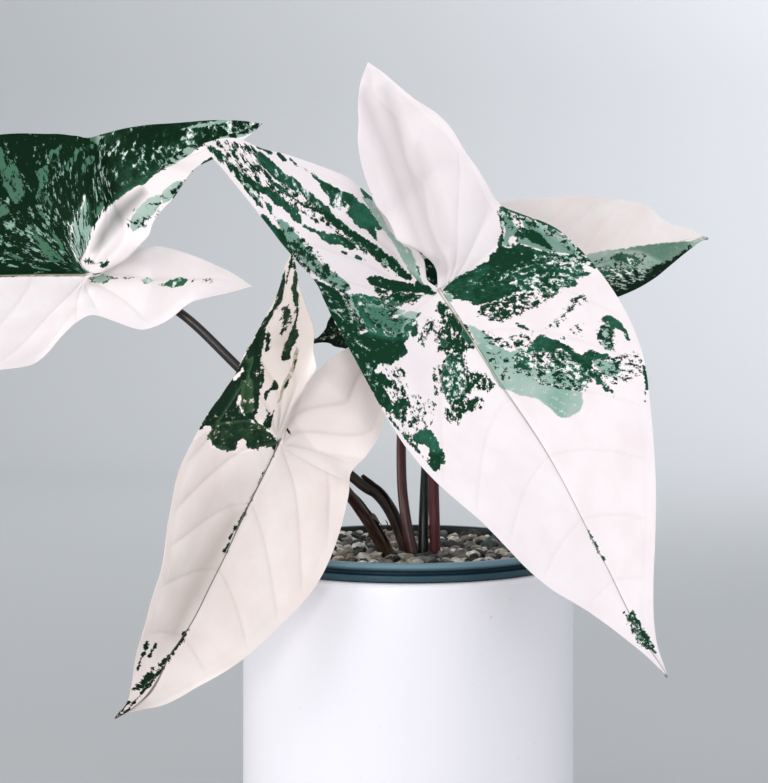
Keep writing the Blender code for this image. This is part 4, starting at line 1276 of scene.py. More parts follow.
# %% The front leaf: the middle lobe's left side, the top lobe and the midrib
FRONT_MIDDLE = (
    # The left side of the middle lobe
    ("milk", 0, ((356, 297), (374, 300), (398, 309), (420, 313), (409, 331), (404, 344), (384, 341),
        (366, 330), (358, 312))),
    ("green", 0, ((351, 294), (362, 293), (374, 298), (385, 301), (388, 307), (398, 309), (392, 316),
        (402, 320), (420, 313), (414, 322), (409, 331), (409, 340), (404, 344), (407, 352), (403, 358),
        (396, 360), (392, 366), (386, 364), (381, 363), (377, 369), (369, 371), (363, 360), (360, 345),
        (358, 334), (368, 332), (362, 318), (354, 304))),
    ("tone", 0.7, ((350, 292), (390, 298), (420, 310), (410, 336), (385, 340), (368, 332))),
    ("tone", -0.7, ((358, 336), (384, 338), (408, 342), (400, 360), (370, 372))),
    ("fleck", 0.24, ((350, 292), (400, 302), (422, 312), (408, 342), (370, 334))),
    ("milk", 0, ((366, 303), (380, 306), (392, 309), (386, 316), (394, 321), (408, 320), (404, 330),
        (396, 336), (384, 330), (374, 322), (366, 312))),
    ("tone", -1.2, ((362, 304), (390, 308), (408, 318), (400, 336), (374, 326))),
    ("freckle", 0.3, ((362, 300), (392, 308), (410, 320), (398, 340), (370, 326))),
    ("white", 2.2, ((392, 318), (404, 313), (416, 306), (426, 303))),
    ("green", 0, ((366, 366), (374, 372), (382, 374), (388, 380), (394, 380), (391, 387), (386, 386),
        (389, 398), (393, 408), (390, 417), (384, 410), (376, 394), (368, 380))),
    ("freckle", 0.45, ((382, 362), (400, 366), (408, 372), (406, 386), (420, 398), (434, 398), (440, 392),
        (438, 404), (432, 412), (434, 424), (424, 432), (408, 428), (398, 418), (390, 404), (392, 386),
        (384, 374))),
    ("green", 0, ((396, 401), (401, 398), (409, 402), (414, 408), (404, 407), (399, 411), (400, 418),
        (395, 418), (392, 408))),
    ("freckle", 0.4, ((398, 420), (416, 424), (424, 432), (412, 446), (402, 434))),
    ("green", 2.0, ((386, 412), (394, 424), (404, 436), (414, 446), (424, 457), (434, 469))),
    ("green", 0, ((411, 438), (417, 432), (425, 429), (431, 430), (436, 437), (441, 446), (445, 454),
        (444, 461), (440, 469), (436, 474), (431, 466), (429, 459), (427, 455), (430, 449), (425, 446),
        (418, 443))),
    ("tone", 0.5, ((410, 430), (434, 428), (446, 450), (436, 456), (420, 442))),
    ("tone", -0.5, ((428, 455), (446, 452), (444, 470), (434, 476))),
    ("green", 0, ((417, 322), (419, 328), (418, 334), (413, 338), (410, 334), (412, 327))),
    ("freckle", 0.65, ((426, 317), (435, 320), (434, 331), (428, 336), (424, 346), (418, 340), (424, 326))),
    # Painted shade over the top lobe, darker in the soft grooves down it
    ("tone", 1.2, ((358, 60), (380, 64), (470, 150), (500, 210), (470, 262), (440, 286), (400, 260),
        (352, 180))),
    ("tone", 1.9, ((358, 96), (364, 90), (392, 150), (412, 208), (430, 256), (420, 258), (400, 210),
        (380, 152))),
    ("tone", 1.85, ((381, 88), (388, 86), (406, 137), (422, 186), (438, 235), (444, 272), (436, 274),
        (426, 236), (408, 187), (392, 138))),
    ("tone", 1.7, ((411, 147), (418, 145), (440, 200), (448, 244), (440, 248), (427, 201))),
    # Either side of the midrib near the petiole
    ("freckle", 0.74, ((439, 300), (446, 302), (456, 314), (466, 325), (474, 338), (474, 348), (464, 352),
        (466, 368), (478, 372), (492, 378), (496, 386), (488, 392), (474, 390), (466, 398), (484, 396),
        (482, 408), (468, 412), (458, 424), (446, 420), (444, 408), (452, 404), (442, 392), (434, 378),
        (442, 366), (446, 350), (438, 352), (434, 336), (440, 320), (436, 310))),
    ("freckle", 0.6, ((432, 368), (442, 366), (443, 392), (434, 394))),
    ("green", 0, ((446, 356), (452, 352), (460, 352), (464, 362), (465, 376), (468, 386), (463, 396),
        (455, 399), (450, 404), (445, 398), (441, 386), (443, 372))),
    ("fleck", 0.4, ((440, 350), (466, 350), (470, 400), (448, 406), (438, 384))),
    ("green", 0, ((463, 328), (469, 332), (474, 340), (470, 347), (465, 341), (460, 335))),
    ("green", 0, ((441, 338), (446, 339), (446, 348), (441, 349))),
)
print("patches in the middle:", len(FRONT_MIDDLE))

# %% The front leaf: its right side
FRONT_RIGHT_SIDE = (
    # The right side: the big patch on its raised shoulder
    ("green", 0, ((441, 291), (445, 286), (452, 280), (461, 275), (471, 269), (481, 265), (487, 261),
        (489, 256), (495, 250), (498, 242), (500, 232), (500, 220), (498, 213), (501, 207), (508, 209),
        (516, 212), (530, 217), (545, 222), (560, 229), (574, 240), (588, 253), (602, 268), (593, 268),
        (584, 264), (582, 272), (591, 272), (586, 276), (573, 279), (577, 286), (562, 288), (555, 294),
        (545, 292), (530, 291), (512, 294), (503, 299), (490, 303), (478, 305), (468, 301), (453, 300),
        (453, 293))),
    ("tone", -0.1, ((441, 290), (500, 255), (600, 262), (575, 290), (455, 300))),
    ("tone", -0.6, ((487, 258), (500, 247), (530, 250), (545, 262), (520, 270), (488, 264))),
    ("tone", -0.8, ((500, 208), (600, 262), (560, 262), (535, 248), (500, 244))),
    ("milk", 0, ((503, 216), (516, 215), (530, 219), (545, 226), (558, 231), (568, 238), (577, 247),
        (574, 255), (560, 253), (545, 252), (528, 246), (516, 243), (510, 248), (502, 246), (505, 232))),
    ("white", 0, ((509, 215), (517, 214), (522, 220), (524, 228), (518, 230), (513, 222))),
    ("milk", 1.6, ((545, 262), (560, 264), (575, 262))),
    ("green", 0, ((509, 236), (518, 230), (530, 230), (540, 235), (550, 243), (556, 252), (546, 249),
        (536, 243), (524, 238), (514, 242))),
    ("white", 0, ((508, 241), (512, 236), (517, 238), (516, 244), (512, 246))),
    ("freckle", 0.5, ((498, 206), (532, 216), (540, 228), (520, 232), (500, 226))),
    ("freckle", 0.42, ((540, 224), (570, 236), (600, 266), (580, 262), (560, 246), (545, 238))),
    ("fleck", 0.5, ((498, 206), (530, 216), (520, 230), (500, 230))),
    ("fleck", 0.28, ((460, 285), (505, 264), (555, 250), (600, 266), (575, 284), (520, 296), (505, 284))),
    ("fleck", 0.46, ((512, 280), (540, 272), (575, 274), (560, 292), (525, 300), (512, 296))),
    ("fleck", 0.46, ((556, 252), (575, 250), (592, 262), (575, 272), (555, 264))),
    ("green", 1.8, ((512, 212), (530, 217), (546, 222), (561, 230), (576, 242), (589, 254), (602, 268))),
    ("green", 2.2, ((504, 246), (517, 245), (530, 249), (546, 255), (562, 257), (575, 257))),
    ("white", 0, ((441, 293), (452, 293), (453, 301), (447, 301))),
    ("milk", 0, ((443, 294), (451, 294), (453, 302), (449, 302))),
    # The speckled belt below it, and the trail of specks towards the margin
    ("freckle", 0.6, ((474, 314), (480, 304), (497, 300), (512, 294), (540, 291), (564, 287), (550, 302),
        (532, 308), (520, 315), (508, 321), (492, 320))),
    ("freckle", 0.5, ((572, 297), (586, 294), (590, 304), (578, 306), (572, 312), (566, 321), (556, 328),
        (546, 332), (545, 328), (560, 316), (564, 306))),
    ("freckle", 0.4, ((572, 324), (584, 324), (582, 336), (560, 342), (554, 336), (570, 334))),
)
print("patches of the right side:", len(FRONT_RIGHT_SIDE))

# %% The front leaf: further down, and its tip
FRONT_LOWER_PART = (
    # The second sector: grey-green beside the midrib, dark green further out
    ("milk", 0, ((466, 322), (476, 328), (486, 334), (493, 341), (500, 348), (510, 352), (520, 348),
        (528, 350), (528, 372), (540, 383), (560, 387), (583, 392), (584, 404), (579, 412), (570, 417),
        (560, 417), (552, 411), (545, 404), (535, 398), (522, 396), (511, 391), (500, 388), (490, 370),
        (478, 347))),
    ("green", 0, ((511, 358), (517, 353), (525, 350), (531, 345), (536, 338), (544, 335), (552, 338),
        (563, 343), (573, 350), (582, 355), (588, 350), (598, 352), (606, 353), (611, 357), (603, 361),
        (594, 362), (592, 367), (598, 373), (606, 386), (613, 394), (604, 389), (597, 383), (590, 377),
        (586, 388), (575, 390), (562, 389), (550, 385), (541, 382), (534, 374), (528, 370), (512, 370),
        (516, 363))),
    ("white", 0, ((532, 357), (540, 352), (549, 353), (551, 361), (546, 367), (538, 364))),
    ("milk", 0, ((524, 374), (534, 367), (548, 372), (560, 370), (572, 378), (584, 384), (572, 388),
        (552, 384), (538, 380))),
    ("milk", 0, ((556, 349), (566, 352), (574, 358), (566, 362), (556, 358))),
    ("freckle", 0.5, ((520, 352), (552, 346), (580, 356), (600, 372), (586, 392), (540, 384), (516, 372))),
    ("fleck", 0.44, ((510, 350), (560, 352), (600, 372), (586, 392), (540, 384), (512, 372))),
    ("tone", 0.4, ((520, 360), (580, 366), (586, 384), (540, 380))),
    ("freckle", 0.34, ((486, 350), (506, 352), (516, 372), (504, 384), (492, 372))),
    ("green", 1.8, ((516, 323), (530, 330), (540, 336))),
    ("green", 2.4, ((556, 341), (575, 353), (592, 366), (603, 380), (614, 395))),
    ("freckle", 0.42, ((596, 360), (610, 360), (622, 352), (636, 352), (643, 362), (641, 374), (628, 381),
        (614, 385), (604, 378))),
    ("freckle", 0.5, ((480, 330), (500, 336), (522, 332), (538, 338), (524, 350), (502, 350), (484, 340))),
    ("green", 0, ((601, 318), (607, 315), (613, 316), (621, 323), (627, 331), (629, 340), (622, 332),
        (615, 327), (611, 335), (609, 343), (612, 350), (606, 348), (599, 341), (604, 335), (606, 327))),
    ("milk", 0, ((600, 326), (608, 322), (612, 330), (609, 342), (612, 350), (602, 346))),
    ("freckle", 0.62, ((598, 316), (612, 315), (616, 350), (598, 346))),
    ("milk", 0, ((590, 356), (604, 360), (616, 362), (622, 372), (610, 378), (598, 370))),
    ("freckle", 0.5, ((588, 352), (624, 358), (624, 380), (598, 380))),
    ("green", 2.6, ((643, 366), (646, 377), (647, 389))),
    ("green", 1.6, ((646, 389), (645, 402))),
    # The tip
    ("green", 0, ((633, 611), (637, 618), (642, 627), (648, 637), (653, 645), (657, 653), (652, 651),
        (646, 649), (641, 645), (637, 640), (634, 632), (633, 624), (629, 620), (626, 615))),
    ("milk", 0, ((634, 621), (638, 627), (643, 636), (643, 641), (638, 640), (635, 632))),
    ("freckle", 0.56, ((624, 612), (640, 622), (650, 642), (642, 648), (632, 636))),
    ("fleck", 0.3, ((624, 612), (640, 618), (656, 650), (642, 650), (632, 636))),
    ("tone", -0.6, ((626, 608), (660, 650), (640, 650))),
    ("green", 1.8, ((588, 531), (597, 547), (604, 560))),
)
FRONT_PATTERN = FRONT_LEFT_LOBE + FRONT_LEFT_MARGIN + FRONT_MIDDLE + FRONT_RIGHT_SIDE + FRONT_LOWER_PART
print("front leaf patches:", len(FRONT_PATTERN))

# %% The lower leaf's pattern
LOWER_PATTERN = (
    # Painted shade over all of this leaf but its right back lobe, which lies in the front leaf's shadow and
    # so is painted lighter than the rest
    ("tone", 1.35, ((280, 240), (320, 330), (300, 420), (320, 446), (400, 460), (330, 620), (100, 740),
        (90, 700), (170, 400))),
    ("green", 0, ((287, 269), (281, 277), (277, 289), (273, 301), (268, 314), (262, 325), (255, 337),
        (248, 350), (242, 360), (237, 369), (230, 381), (221, 393), (214, 404), (207, 416), (197, 432),
        (208, 425), (213, 427), (208, 436), (212, 444), (219, 449), (228, 452), (236, 450), (238, 445),
        (243, 440), (247, 447), (254, 451), (264, 449), (275, 448), (283, 444), (276, 438), (267, 431),
        (259, 424), (255, 416), (260, 408), (258, 396), (262, 384), (265, 374), (262, 364), (264, 356),
        (269, 351), (271, 340), (269, 332), (272, 320), (276, 309), (280, 300), (282, 291), (286, 282))),
    ("tone", -0.5, ((287, 268), (260, 345), (200, 430), (215, 425), (262, 352), (288, 285))),
    ("tone", 0.25, ((245, 378), (262, 378), (262, 412), (240, 412))),
    ("tone", -0.1, ((208, 425), (262, 420), (280, 442), (240, 452), (212, 446))),
    ("fleck", 0.08, ((252, 345), (266, 350), (264, 380), (262, 420), (236, 410), (230, 385))),
    ("fleck", 0.12, ((206, 405), (250, 412), (275, 440), (230, 452), (206, 440))),
    ("white", 1.6, ((280, 300), (273, 315), (267, 330), (265, 345), (262, 362), (261, 372))),
    ("tone", -1.0, ((246, 356), (248, 376), (230, 398), (214, 422), (194, 438), (214, 402), (232, 376))),
    ("white", 0, ((243, 367), (244, 371), (239, 377), (233, 381), (237, 375))),
    ("white", 1.1, ((240, 395), (239, 405), (245, 416), (256, 424))),
    ("green", 0, ((295, 256), (299, 257), (297, 266), (299, 280), (298, 300), (297, 318), (294, 327),
        (298, 332), (297, 342), (292, 351), (290, 358), (284, 361), (280, 357), (282, 348), (287, 339),
        (289, 330), (292, 322), (293, 305), (291, 290), (293, 275))),
    ("green", 2.2, ((292, 255), (290, 268), (287, 284))),
    ("green", 0, ((286, 307), (289, 309), (288, 318), (286, 327), (283, 333), (281, 339), (280, 331),
        (283, 319))),
    ("freckle", 0.5, ((280, 305), (291, 305), (288, 330), (279, 342))),
    ("milk", 0, ((297, 346), (301, 349), (299, 358), (296, 366), (291, 376), (286, 388), (281, 400),
        (277, 405), (279, 396), (283, 384), (288, 372), (293, 360), (295, 352))),
    ("green", 1.6, ((298, 350), (296, 362), (290, 376), (284, 390))),
    ("green", 0, ((273, 378), (277, 381), (279, 386), (276, 390), (270, 391), (268, 398), (266, 404),
        (264, 399), (267, 392), (272, 386))),
    ("green", 0, ((265, 407), (269, 409), (271, 414), (275, 409), (274, 416), (271, 422), (269, 430),
        (265, 427), (264, 420), (266, 414))),
    ("green", 1.3, ((270, 390), (267, 398), (267, 406), (269, 412))),
    ("green", 1.8, ((288, 430), (290, 434))),
    # Painted shade on the white of the left back lobe
    ("tone", 1.9, ((284, 250), (304, 256), (322, 335), (306, 372), (282, 436), (254, 420), (250, 330))),
    # Along the midrib and at the tip; painted shade on the left half beside the midrib, where it faces away
    # from the light
    ("tone", 1.55, ((262, 478), (208, 590), (160, 664), (152, 650), (170, 580), (200, 500), (230, 474))),
    ("tone", 2.2, ((244, 512), (203, 594), (176, 640), (168, 636), (184, 590), (212, 536), (232, 508))),
    ("green", 1.0, ((277, 447), (267, 465), (258, 485), (250, 503))),
    ("green", 2.0, ((250, 503), (243, 516), (237, 527))),
    ("green", 3.0, ((237, 527), (230, 537))),
    ("green", 2.6, ((229, 545), (223, 554))),
    ("green", 2.6, ((188, 630), (180, 642), (173, 653))),
    ("freckle", 0.68, ((170, 652), (172, 658), (164, 668), (154, 681), (142, 690), (132, 692), (142, 680),
        (156, 664))),
    ("green", 2.4, ((163, 668), (150, 685), (138, 698), (127, 710), (116, 718))),
    ("green", 3.6, ((147, 642), (145, 651), (141, 660), (138, 672))),
    ("green", 2.0, ((156, 645), (152, 651), (149, 657))),
    ("green", 0, ((131, 700), (126, 705), (121, 711), (115, 718), (119, 708), (125, 702))),
)
print("lower leaf patches:", len(LOWER_PATTERN))

# %% The left leaf's pattern
LEFT_PATTERN = (
    ("milk", 0, ((-280, 60), (215, 60), (250, 128), (190, 149), (150, 174), (104, 206), (86, 238),
        (78, 260), (80, 273), (40, 275), (-280, 262))),
    ("green", 0, ((-280, 60), (215, 60), (264, 120), (262, 126), (250, 131), (232, 137), (216, 142),
        (200, 147), (190, 151), (178, 158), (168, 164), (160, 170), (152, 176), (146, 184), (134, 188),
        (126, 192), (116, 199), (107, 209), (99, 219), (92, 228), (88, 240), (83, 252), (79, 261),
        (84, 269), (88, 273), (84, 276), (40, 276), (-30, 277), (-280, 262))),
    ("tone", -1.25, ((-280, 60), (100, 60), (130, 160), (95, 230), (60, 276), (-280, 276))),
    ("tone", -0.3, ((95, 110), (262, 90), (262, 128), (160, 165), (130, 188), (100, 200))),
    ("fleck", 0.1, ((-280, 60), (264, 60), (264, 140), (110, 205), (85, 275), (-280, 275))),
    ("fleck", 0.3, ((98, 146), (150, 140), (190, 139), (180, 150), (130, 180), (102, 205), (92, 190))),
    ("fleck", 0.28, ((-60, 212), (26, 212), (38, 196), (58, 205), (70, 225), (70, 262), (-60, 272))),
    ("fleck", 0.22, ((38, 190), (46, 176), (56, 162), (70, 158), (74, 176), (70, 215), (50, 205))),
    ("fleck", 0.42, ((172, 132), (200, 122), (262, 116), (262, 128), (220, 140), (184, 146))),
    ("milk", 2.0, ((182, 129), (196, 126), (212, 124), (228, 121))),
    ("milk", 0, ((216, 139), (230, 134), (246, 129), (260, 122), (257, 130), (246, 136), (228, 140))),
    ("milk", 0, ((158, 170), (168, 158), (180, 150), (198, 143), (196, 150), (184, 157), (170, 166))),
    ("freckle", 0.5, ((156, 172), (170, 152), (200, 132), (262, 116), (262, 132), (210, 146), (180, 160))),
    ("fleck", 0.3, ((150, 150), (200, 140), (262, 128), (262, 140), (170, 172))),
    # Grey-green cells between the veins, which fan out from the petiole
    ("milk", 0, ((-6, 140), (0, 148), (6, 154), (12, 160), (18, 169), (22, 177), (25, 186), (24, 195),
        (19, 200), (16, 206), (11, 200), (6, 191), (3, 181), (3, 171), (-2, 163), (-10, 150))),
    ("milk", 0, ((-14, 194), (0, 198), (8, 203), (9, 211), (2, 218), (-12, 212))),
    ("milk", 0, ((46, 157), (50, 151), (57, 147), (61, 144), (60, 150), (59, 157), (55, 162), (51, 162))),
    ("milk", 0, ((36, 173), (42, 168), (49, 163), (54, 167), (56, 174), (51, 181), (46, 185), (42, 189),
        (43, 198), (42, 205), (37, 199), (35, 195), (39, 186), (39, 180))),
    ("milk", 0, ((65, 167), (70, 158), (76, 148), (86, 146), (95, 144), (86, 137), (95, 135), (105, 136),
        (105, 145), (96, 146), (88, 149), (80, 153), (74, 163), (67, 172))),
    ("milk", 0, ((80, 167), (85, 158), (94, 156), (96, 160), (88, 165), (85, 172), (82, 177), (81, 171))),
    ("milk", 0, ((44, 196), (48, 194), (53, 204), (51, 211), (46, 206))),
    ("milk", 0, ((29, 235), (37, 235), (44, 241), (51, 248), (57, 255), (61, 261), (52, 261), (43, 253),
        (36, 243))),
    ("milk", 0, ((92, 212), (95, 204), (103, 201), (105, 206), (101, 213), (95, 219))),
    ("milk", 0, ((-96, 150), (-74, 158), (-52, 184), (-50, 196), (-66, 190), (-84, 172))),
    ("milk", 0, ((-150, 178), (-122, 184), (-96, 206), (-98, 214), (-118, 208), (-142, 194))),
    ("milk", 2.0, ((14, 203), (24, 217), (34, 230), (46, 245), (63, 259))),
    ("milk", 1.7, ((40, 212), (50, 228), (63, 250))),
    ("milk", 1.7, ((-120, 198), (-60, 216), (0, 250), (50, 271))),
    ("freckle", 0.34, ((-280, 130), (30, 140), (30, 212), (66, 262), (-280, 262))),
    ("freckle", 0.5, ((34, 160), (60, 150), (110, 134), (108, 150), (104, 206), (92, 222), (66, 215),
        (36, 210))),
    # The long feather beside the fold
    ("milk", 0, ((72, 224), (75, 217), (81, 209), (84, 200), (85, 195), (87, 199), (88, 210), (89, 222),
        (92, 229), (87, 245), (82, 255), (78, 262), (75, 256), (71, 246), (70, 234))),
    ("tone", 0.3, ((84, 190), (68, 222), (66, 250), (78, 268), (96, 230), (92, 204))),
    ("freckle", 0.42, ((84, 196), (70, 226), (68, 250), (78, 266), (94, 230), (90, 206))),
    ("white", 1.5, ((85, 196), (81, 208), (75, 217), (72, 226), (71, 240), (74, 254), (78, 262))),
    ("green", 1.6, ((95, 226), (88, 243), (82, 256), (77, 263))),
    # The pale lobe and the lower half
    ("milk", 0, ((130, 228), (132, 218), (139, 208), (148, 199), (156, 194), (162, 197), (160, 206),
        (152, 216), (141, 226), (134, 232))),
    ("milk", 0, ((160, 194), (168, 186), (178, 180), (185, 179), (179, 190), (170, 200), (163, 204))),
    # Painted shade: a grey band down the fold of the pale lobe
    ("tone", 1.8, ((90, 254), (96, 234), (108, 212), (124, 197), (142, 186), (148, 194), (138, 210),
        (126, 222), (110, 240), (100, 252))),
    ("tone", 3.2, ((94, 250), (99, 234), (110, 215), (126, 201), (142, 189), (145, 193), (134, 206),
        (118, 223), (104, 243))),
    ("freckle", 0.3, ((124, 214), (160, 196), (185, 178), (178, 196), (150, 226), (128, 232))),
    ("green", 1.6, ((170, 204), (175, 195))),
    ("green", 2.0, ((180, 184), (184, 178))),
    ("green", 2.4, ((194, 171), (203, 165), (217, 158))),
    ("green", 0, ((83, 261), (86, 259), (90, 259), (93, 262), (100, 263), (92, 264), (86, 263))),
    ("green", 0, ((100, 261), (104, 264), (107, 260), (110, 262), (107, 267), (102, 268), (99, 265))),
    ("green", 2.6, ((78, 262), (83, 270), (87, 273))),
    ("green", 0, ((88, 278), (100, 275), (113, 277), (108, 281), (100, 284), (92, 282))),
    ("green", 1.2, ((112, 278), (132, 277), (152, 280))),
    ("green", 0, ((136, 279), (146, 277), (154, 280), (146, 283), (139, 282))),
    ("green", 0, ((160, 285), (168, 280), (178, 277), (187, 279), (183, 285), (173, 288), (164, 287))),
    ("milk", 0, ((92, 279), (104, 275), (114, 277), (106, 282), (98, 284))),
    ("milk", 0, ((138, 279), (148, 277), (155, 280), (146, 284))),
    ("tone", 0.9, ((84, 272), (216, 272), (216, 292), (84, 292))),
    ("fleck", 0.4, ((130, 272), (216, 272), (216, 292), (130, 292))),
    ("freckle", 0.55, ((187, 278), (213, 275), (214, 282), (188, 283))),
)
print("left leaf patches:", len(LEFT_PATTERN))

# %% The right and back leaves' patterns
RIGHT_PATTERN = (
    ("milk", 0, ((424, 300), (462, 284), (500, 277), (530, 271), (560, 264), (590, 254), (607, 250),
        (622, 249), (637, 246), (656, 244), (673, 242), (695, 241), (710, 237), (692, 250), (682, 259),
        (665, 272), (645, 287), (625, 295), (600, 306), (556, 322), (500, 336), (460, 340), (430, 356),
        (402, 372), (376, 356), (400, 328))),
    ("tone", -0.9, ((430, 296), (600, 246), (690, 236), (684, 268), (604, 308), (420, 350))),
    ("green", 0, ((424, 306), (462, 297), (500, 292), (540, 286), (575, 276), (596, 268), (607, 266),
        (619, 271), (631, 267), (645, 270), (659, 265), (679, 256), (690, 245), (684, 262), (665, 275),
        (645, 288), (625, 296), (600, 307), (556, 323), (500, 337), (460, 341), (432, 356), (404, 366),
        (392, 350))),
    ("green", 0, ((560, 316), (604, 301), (625, 291), (642, 280), (658, 269), (672, 258), (684, 250),
        (700, 244), (686, 262), (668, 280), (645, 296), (610, 316), (560, 330))),
    ("green", 0, ((612, 257), (622, 253), (634, 256), (643, 262), (632, 264), (620, 262))),
    ("tone", 0.7, ((430, 290), (600, 250), (640, 252), (660, 262), (620, 276), (420, 330))),
    ("tone", -0.9, ((500, 330), (604, 290), (632, 284), (650, 274), (682, 252), (700, 250), (670, 284),
        (612, 316), (500, 346))),
    ("freckle", 0.4, ((420, 300), (600, 258), (640, 250), (656, 262), (612, 276), (480, 310), (400, 350))),
    ("fleck", 0.42, ((420, 300), (600, 262), (660, 256), (650, 276), (612, 294), (480, 334), (400, 366))),
    ("milk", 2.6, ((694, 241), (703, 238), (712, 236))),
    ("green", 0, ((368, 200), (400, 172), (432, 178), (452, 206), (458, 240), (446, 272), (436, 292),
        (410, 298), (384, 280), (366, 236))),
    ("tone", -0.3, ((380, 180), (430, 176), (460, 214), (440, 300), (380, 300))),
)
BACK_PATTERN = (
    ("green", 0, ((290, 270), (520, 250), (520, 400), (290, 400))),
    ("milk", 1.3, ((322, 339), (345, 333), (370, 328), (400, 320))),
    ("milk", 1.0, ((340, 322), (360, 314), (390, 306))),
    ("fleck", 0.12, ((290, 270), (520, 250), (520, 400), (290, 400))),
    ("tone", -0.2, ((290, 270), (520, 250), (520, 400), (290, 400))),
)
print("right and back leaf patches:", len(RIGHT_PATTERN), len(BACK_PATTERN))

# %% [markdown]
# ## What the eye gets from the blades
#
# A blade has one material above and a paler one below, built in the order the plant builds them.
# White tissue has no pigment at all and shows a trace of pink; where the stored tone is above 1,
# grey-brown painted shade lies on it. Milk is grey-green: pigment in the deep cells only. Green has
# pigment all the way. Freckles are single dark cells' offspring on white, and flecks are the
# reverse. Every edge is roughened by a noise that is stretched along the grain, which is what makes
# it look grown and not painted. The midrib stays pale above, with a thin dark line of painted shade
# in the crease on each side, and the underside is duller and paler all over.

# %% Leaf finishes
# Colours that all leaves share; the rib line colour is painted shade for the creases beside the midrib
VEIN_BUFF, RIB_CREASE_SHADE, RIB_PALE, UNDERSIDE = (linear(c) for c in ("A8988B", "4A4036", "C9C6AE", "DAD6CB"))


def leaf_finish(name, vein_share, rib_gap, rib_dark, colours, under=False):
    """The skin of one leaf, with the strength of its veins; under gives its paler back."""
    white, blush, milky, dark, mid, painted_shade = (linear(c) for c in colours)
    finish, tree, shader = new_finish(name, Roughness=0.62 if under else 0.44, IOR=1.42,
        Specular_IOR_Level=0.08)
    green, milk, freckle, fleck, tint = (add_node(tree, "Attribute", {}, "Fac", attribute_name=kept)
        for kept in ("green", "milk", "freckle", "fleck", "tone"))
    grain, flat, ribs = (add_node(tree, "Attribute", {}, "Vector", attribute_name=kept)
        for kept in ("grain", "flat", "ribs"))
    # Crumbs: clusters 3 mm wide whose edges break up into grains of 0.2 mm
    crumbs = add_node(tree, "TexNoise", {"Vector": grain, "Scale": 1 / 2.6, "Detail": 6.0,
        "Roughness": 0.72})
    apart = add_node(tree, "VectorMath", {0: grain, 1: (131.0, 57.0, 9.0)}, operation="ADD")
    specks = add_node(tree, "TexNoise", {"Vector": apart, "Scale": 1 / 1.5, "Detail": 6.0,
        "Roughness": 0.72})
    broad = add_node(tree, "TexNoise", {"Vector": flat, "Scale": 1 / 14, "Detail": 4.0})

    # Unpigmented tissue, with a blush in broad clouds, painted shade where the stored tone is above 1, and
    # faint veins
    tone = lay_over(tree, white, blush, broad, 0.35, 0.7)
    tone = lay_over(tree, tone, painted_shade, tint, 1.0, 3.4)
    vein = add_node(tree, "SeparateXYZ", {"Vector": ribs}, "Z")
    tone = lay_over(tree, tone, VEIN_BUFF, vein, most=vein_share)
    # Deep pigment only: a fairly soft edge, and pale dots where it fails
    paler = tuple(0.75 * a + 0.25 * b for a, b in zip(milky, white))
    mottle = lay_over(tree, milky, paler, broad, 0.35, 0.65)
    mottle = lay_over(tree, mottle, white, specks, 0.57, 0.66, 0.6)
    mottle = lay_over(tree, mottle, mid, tint, 0.0, -1.4)
    depth = add_node(tree, "Math", {0: crumbs, 1: 2.6, 2: milk}, operation="MULTIPLY_ADD")
    tone = lay_over(tree, tone, mottle, depth, 1.15, 1.5)
    # Full pigment: lighter where a sum of noises and the stored tone is high, and dark again under painted
    # shade
    under_painted_shade = add_node(tree, "MapRange", {"Value": tint, "From Min": 1.0, "From Max": 1.4})
    shade = -1.05
    for part, amount in ((specks, 1.5), (broad, 1.3), (tint, 0.55), (under_painted_shade, -1.3)):
        shade = add_node(tree, "Math", {0: part, 1: amount, 2: shade}, operation="MULTIPLY_ADD")
    cells = lay_over(tree, dark, mid, shade, 0.1, 1.0)
    # Pale flecks in the green; a density of 0.5 covers half of it
    limit = add_node(tree, "Math", {0: fleck, 1: -0.3, 2: 0.65}, operation="MULTIPLY_ADD")
    over = add_node(tree, "Math", {0: specks, 1: limit}, operation="SUBTRACT")
    cells = lay_over(tree, cells, milky, over, -0.02, 0.01)
    bright = add_node(tree, "MapRange", {"Value": tint, "From Min": -1.1, "From Max": -0.5})
    cells = lay_over(tree, cells, white, over, 0.02, 0.05, bright)
    # The green has a crisp edge that crumbles
    depth = add_node(tree, "Math", {0: crumbs, 1: 5.0, 2: green}, operation="MULTIPLY_ADD")
    tone = lay_over(tree, tone, cells, depth, 2.42, 2.58)
    # Dark freckles on the white and the milk
    limit = add_node(tree, "Math", {0: freckle, 1: -0.3, 2: 0.65}, operation="MULTIPLY_ADD")
    over = add_node(tree, "Math", {0: specks, 1: limit}, operation="SUBTRACT")
    off_green = add_node(tree, "MapRange", {"Value": depth, "From Min": 2.58, "From Max": 2.42})
    allowed = add_node(tree, "MapRange", {"Value": freckle, "From Min": 0.05, "From Max": 0.15,
        "To Max": off_green})
    tone = lay_over(tree, tone, dark, over, -0.008, 0.012, allowed)
    # The midrib is pale, and paler where veins are faint, with a thin dark line of painted shade in the
    # crease on each side. Towards the tip the two lines run together into one
    along = add_node(tree, "SeparateXYZ", {"Vector": flat}, "Y")
    gap = add_node(tree, "MapRange", {"Value": along, "From Min": -70.0, "From Max": -10.0,
        "To Max": rib_gap})
    off_midrib = add_node(tree, "SeparateXYZ", {"Vector": ribs}, "X")
    past_line = add_node(tree, "Math", {0: off_midrib, 1: gap}, operation="SUBTRACT")
    off_line = add_node(tree, "Math", {0: past_line}, operation="ABSOLUTE")
    tone = lay_over(tree, tone, RIB_CREASE_SHADE, off_line, 0.26, 0.1, rib_dark)
    tone = lay_over(tree, tone, RIB_PALE, past_line, 0.0, -0.2, 0.6 - vein_share)
    if under:
        tone = lay_over(tree, tone, UNDERSIDE, 0.42)
    tree.links.new(tone, shader.inputs["Base Color"])
